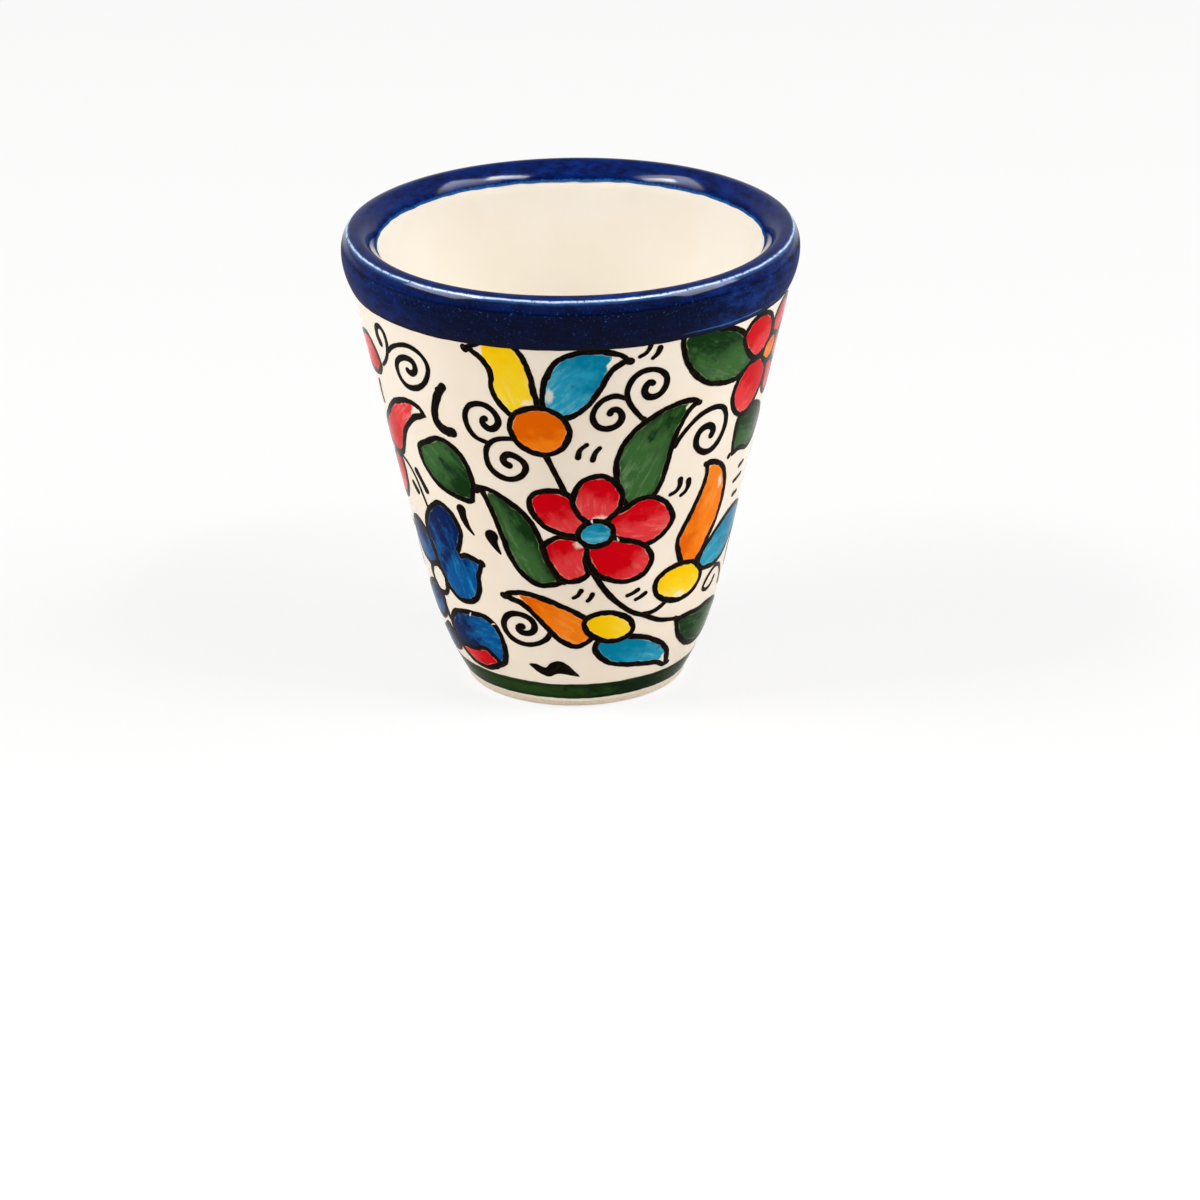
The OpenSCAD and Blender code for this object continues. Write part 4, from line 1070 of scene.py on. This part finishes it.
class Layer:
    """The marks of one node, gathered into one piece."""

    def __init__(self):
        self.points, self.faces, self.normals, self.brush, self.wash = [], [], [], [], []
        self.count = 0

    def add(self, grid, triangles, proud, brush, wash):
        """A thin closed patch on the wall over these triangles of the grid."""
        n = len(grid)
        top, low = wall_point(grid, proud), wall_point(grid, -PAINT_SUNK)
        normal = wall_normal(grid)
        shade_eased_at_sides = np.concatenate([triangles[:, [0, 1]], triangles[:, [1, 2]], triangles[:, [2, 0]]])
        flipped = {(b, a) for a, b in shade_eased_at_sides.tolist()}
        rim = [(a, b) for a, b in shade_eased_at_sides.tolist() if (a, b) not in flipped]
        base = self.count
        self.points += [top, low]
        self.faces += (triangles + base).tolist()
        self.normals += [normal[triangles].reshape(-1, 3)]
        self.faces += (triangles[:, ::-1] + base + n).tolist()
        self.normals += [-normal[triangles[:, ::-1]].reshape(-1, 3)]
        for a, b in rim:
            self.faces.append((base + b, base + a, base + n + a, base + n + b))
            run = top[b] - top[a]
            out = np.cross(run, normal[a])
            self.normals.append(np.tile(out / max(np.linalg.norm(out), TINY), (4, 1)))
        self.brush += [brush, brush]
        self.wash += [wash, wash]
        self.count += 2 * n

    def make(self, name, node, slot):
        mesh = new_piece(name, np.concatenate(self.points), self.faces, node, slot).data
        lay_on(mesh, "brush", np.concatenate(self.brush))
        lay_on(mesh, "wash", np.concatenate(self.wash))
        mesh.shade_smooth()
        mesh.normals_split_custom_set(np.concatenate(self.normals).tolist())


def brush_of(mark, flat):
    """Distances along and across the brush's way, and the mark's seed."""
    spread = mark["outer"] - mark["outer"].mean(0)
    way = np.linalg.eigh(spread.T @ spread)[1][:, 1]
    away = flat - mark["outer"].mean(0)
    return np.stack([away @ way, away @ [-way[1], way[0]], np.full(len(flat), mark["seed"])], 1)


def pool_of(mark, flat):
    """From the shape's thin end to where its colour pooled, about -1 to 1, with 0 where the two meet."""
    angle = math.radians(mark["shape"]["pool"])
    way = np.array([math.cos(angle), math.sin(angle)])
    extent = mark["fill"] @ way
    share = (flat @ way - extent.min()) / (extent.max() - extent.min())
    return 2 * (share - 1 + mark["shape"]["deep"])


def pale_of(mark, flat):
    """How far the brush missed, 1 in the middle of a bare patch and 0 away from it."""
    pale = np.zeros(len(flat))
    for u, v, length, width, tilt in PATCHES:
        away = (flat - mark["flat"].lay([(u, v)])) @ np.array(Matrix.Rotation(math.radians(tilt), 2))
        pale = np.maximum(pale, PALE_TOP - np.linalg.norm(away / [length, width], axis=1) * PALE_FALL)
    return np.clip(pale, 0, 1)


def paint_face(layers, face, seed):
    """Every mark of one face, laid on the wall at its place round the cup."""
    marks, nicks = face_marks(seed)
    grid, triangles = flat_map(marks, nicks)
    sort_triangles(marks, nicks, grid, triangles)
    for mark in marks:
        for part, node, proud in (("line", mark["line_node"], LINE_PROUD),
                                  ("colour", mark["fill_node"], FILL_PROUD)):
            chosen = mark.get(part, ())
            if not len(chosen):
                continue
            used, local = np.unique(triangles[chosen], return_inverse=True)
            place = grid[used]
            flat = mark["flat"].lay(place)
            if part == "line":
                edge = reach(flat, mark["outer"])
                if "inner" in mark:
                    edge = np.minimum(edge, reach(flat, mark["inner"]))
                pool = pale = np.zeros(len(flat))
            else:
                edge = reach(flat, mark["fill"])
                pool, pale = pool_of(mark, flat), pale_of(mark, flat)
            wash = np.stack([pool, edge, pale], 1)
            around = place + [face, 0]
            layers[node].add(around, local.reshape(-1, 3), proud, brush_of(mark, flat), wash)


def make_painting():
    slots = {node: colour + "_paint" for colour, node in FILL_NODE.items()}
    slots |= dict.fromkeys(LINE_NODES, "black_line")
    layers = {node: Layer() for node in slots}
    for face, seed in FACES:
        paint_face(layers, face, seed)
    for node, layer in layers.items():
        layer.make("painted_" + node, node, slots[node])


def make_foot_line():
    """The green line, with its way round and across laid on its skin."""
    low, high = [ragged_edge(*edge) for edge in LINE_EDGES]
    run = wall_run(FOOT_LINE_Z, PAINT_Z, 12)
    mesh = turned("foot_line", coat(lambda u: slid(run, low(u), high(u)), PAINT_SUNK, FILL_PROUD),
                  "foot_line", "foot_green")
    place = np.array([v.co for v in mesh.vertices]) / MM
    around = np.arctan2(place[:, 0], -place[:, 1])
    across = place[:, 2] - FOOT_LINE_Z
    brush = np.stack([around * FOOT_R, across, np.full(len(place), LINE_SEED)], 1)
    edge = np.minimum(across, FOOT_LINE_H - across)
    wash = np.stack([np.sin(LINE_POOLS * around) * LINE_POOL, edge, np.zeros(len(place))], 1)
    lay_on(mesh, "brush", brush)
    lay_on(mesh, "wash", wash)


make_painting()
make_foot_line()


# Camera, light and floor

# The camera: picture size and focal length in pixels, distances in millimetres, angles in degrees
VIEW_SIZE = 1200
VIEW_FOCUS = 5953.84
VIEW_AWAY = 800
VIEW_RISE = 18.73
VIEW_ROLL = 0.76
AIM_HEIGHT = 63.67
AIM_PIXEL = (570.4, 226.9)
SENSOR = 36
NEAREST = 10

# Lamps: degrees round from the camera's side and above the floor, size in metres, watts
LAMPS = {
    "strip_left": (-70, 50, (0.26, 0.08), 1.9),
    "strip_right": (52, 57, (0.30, 0.09), 2.0),
    "softbox_left": (-78, 42, (0.50, 0.5), 3.9),
    "softbox_right": (78, 40, (0.50, 0.5), 4.3),
}
LAMP_AWAY = 0.9
LAMP_AIM = 0.04

# The room's light overhead and at the floor, and how high the change ends
ZENITH = 0.12
HORIZON = 0.37
SKY_TOP = 0.9

# The floor: half its width in metres, how far under the cup in millimetres, and how white to the camera
FLOOR_HALF = 4
FLOOR_DROP = 0.02
FLOOR_WHITE = 0.78


def make_camera():
    """A camera that puts the middle of the rim's edge on its pixel, at the photograph's angle."""
    rise = math.radians(VIEW_RISE)
    back = Vector((0, -math.cos(rise), math.sin(rise)))
    right_side_light = Vector((1, 0, 0))
    view = Matrix((right_side_light, right_side_light.cross(-back), -back))
    offset = [(pixel - VIEW_SIZE / 2) / VIEW_FOCUS for pixel in AIM_PIXEL]
    aim = Vector((offset[0], -offset[1], 1)).normalized()
    swing = Vector((0, 0, 1)).rotation_difference(aim).to_matrix()
    view = swing @ Matrix.Rotation(math.radians(VIEW_ROLL), 3, "Z") @ view
    lens = bpy.data.cameras.new("view")
    lens.sensor_width = SENSOR
    lens.lens = VIEW_FOCUS * SENSOR / VIEW_SIZE
    lens.clip_start = NEAREST * MM
    camera = link("view", lens)
    camera.matrix_world = Matrix((view[0], view[1], -view[2])).transposed().to_4x4()
    camera.location = (Vector((0, 0, AIM_HEIGHT)) + back * VIEW_AWAY) * MM
    bpy.context.scene.camera = camera


def make_lamp(name, azimuth, rise, size, power):
    lamp = bpy.data.lights.new(name, "AREA")
    lamp.shape = "RECTANGLE"
    lamp.size, lamp.size_y = size
    lamp.energy = power
    box = link(name, lamp)
    a, e = math.radians(azimuth), math.radians(rise)
    way = Vector((math.sin(a) * math.cos(e), -math.cos(a) * math.cos(e), math.sin(e)))
    box.location = way * LAMP_AWAY + Vector((0, 0, LAMP_AIM))
    box.rotation_euler = way.to_track_quat("Z", "Y").to_euler()


def make_world():
    """A pale room, dimmer overhead."""
    f = Finish("studio", "worlds")
    up = f.split(f.add("ShaderNodeTexCoord", None, None, "Generated"))[2]
    level = f.add("ShaderNodeMapRange", None,
                  {"Value": up, "From Max": SKY_TOP, "To Min": HORIZON, "To Max": ZENITH})
    room = f.add("ShaderNodeBackground", None, {"Color": (1, 1, 1, 1), "Strength": level})
    bpy.context.scene.world = f.close(room, "World")


def make_floor():
    """A pale floor that shows white to the camera and keeps the cup's shadow."""
    f = Finish("pale_floor")
    path = f.add("ShaderNodeLightPath").socket.node.outputs
    rays = [Value(f, path[f"Is {kind} Ray"]) for kind in ("Camera", "Glossy", "Transmission")]
    seen = rays[0] + rays[1] + rays[2]
    pale = f.add("ShaderNodeBsdfDiffuse", None, {"Color": paint(242, 241, 240)})
    white = f.add("ShaderNodeEmission", None, {"Color": (1, 1, 1, 1), "Strength": 1.0})
    finish = f.close(f.add("ShaderNodeMixShader", None, {0: seen * FLOOR_WHITE, 1: pale, 2: white}))
    corners = [(x * FLOOR_HALF, y * FLOOR_HALF, 0) for x, y in ((-1, -1), (1, -1), (1, 1), (-1, 1))]
    floor = new_mesh("floor", corners, [(0, 1, 2, 3)], finish)
    floor.location.z = -FLOOR_DROP * MM


make_camera()
for name, lamp in LAMPS.items():
    make_lamp(name, *lamp)
make_world()
make_floor()
bpy.context.scene.view_settings.view_transform = "Standard"
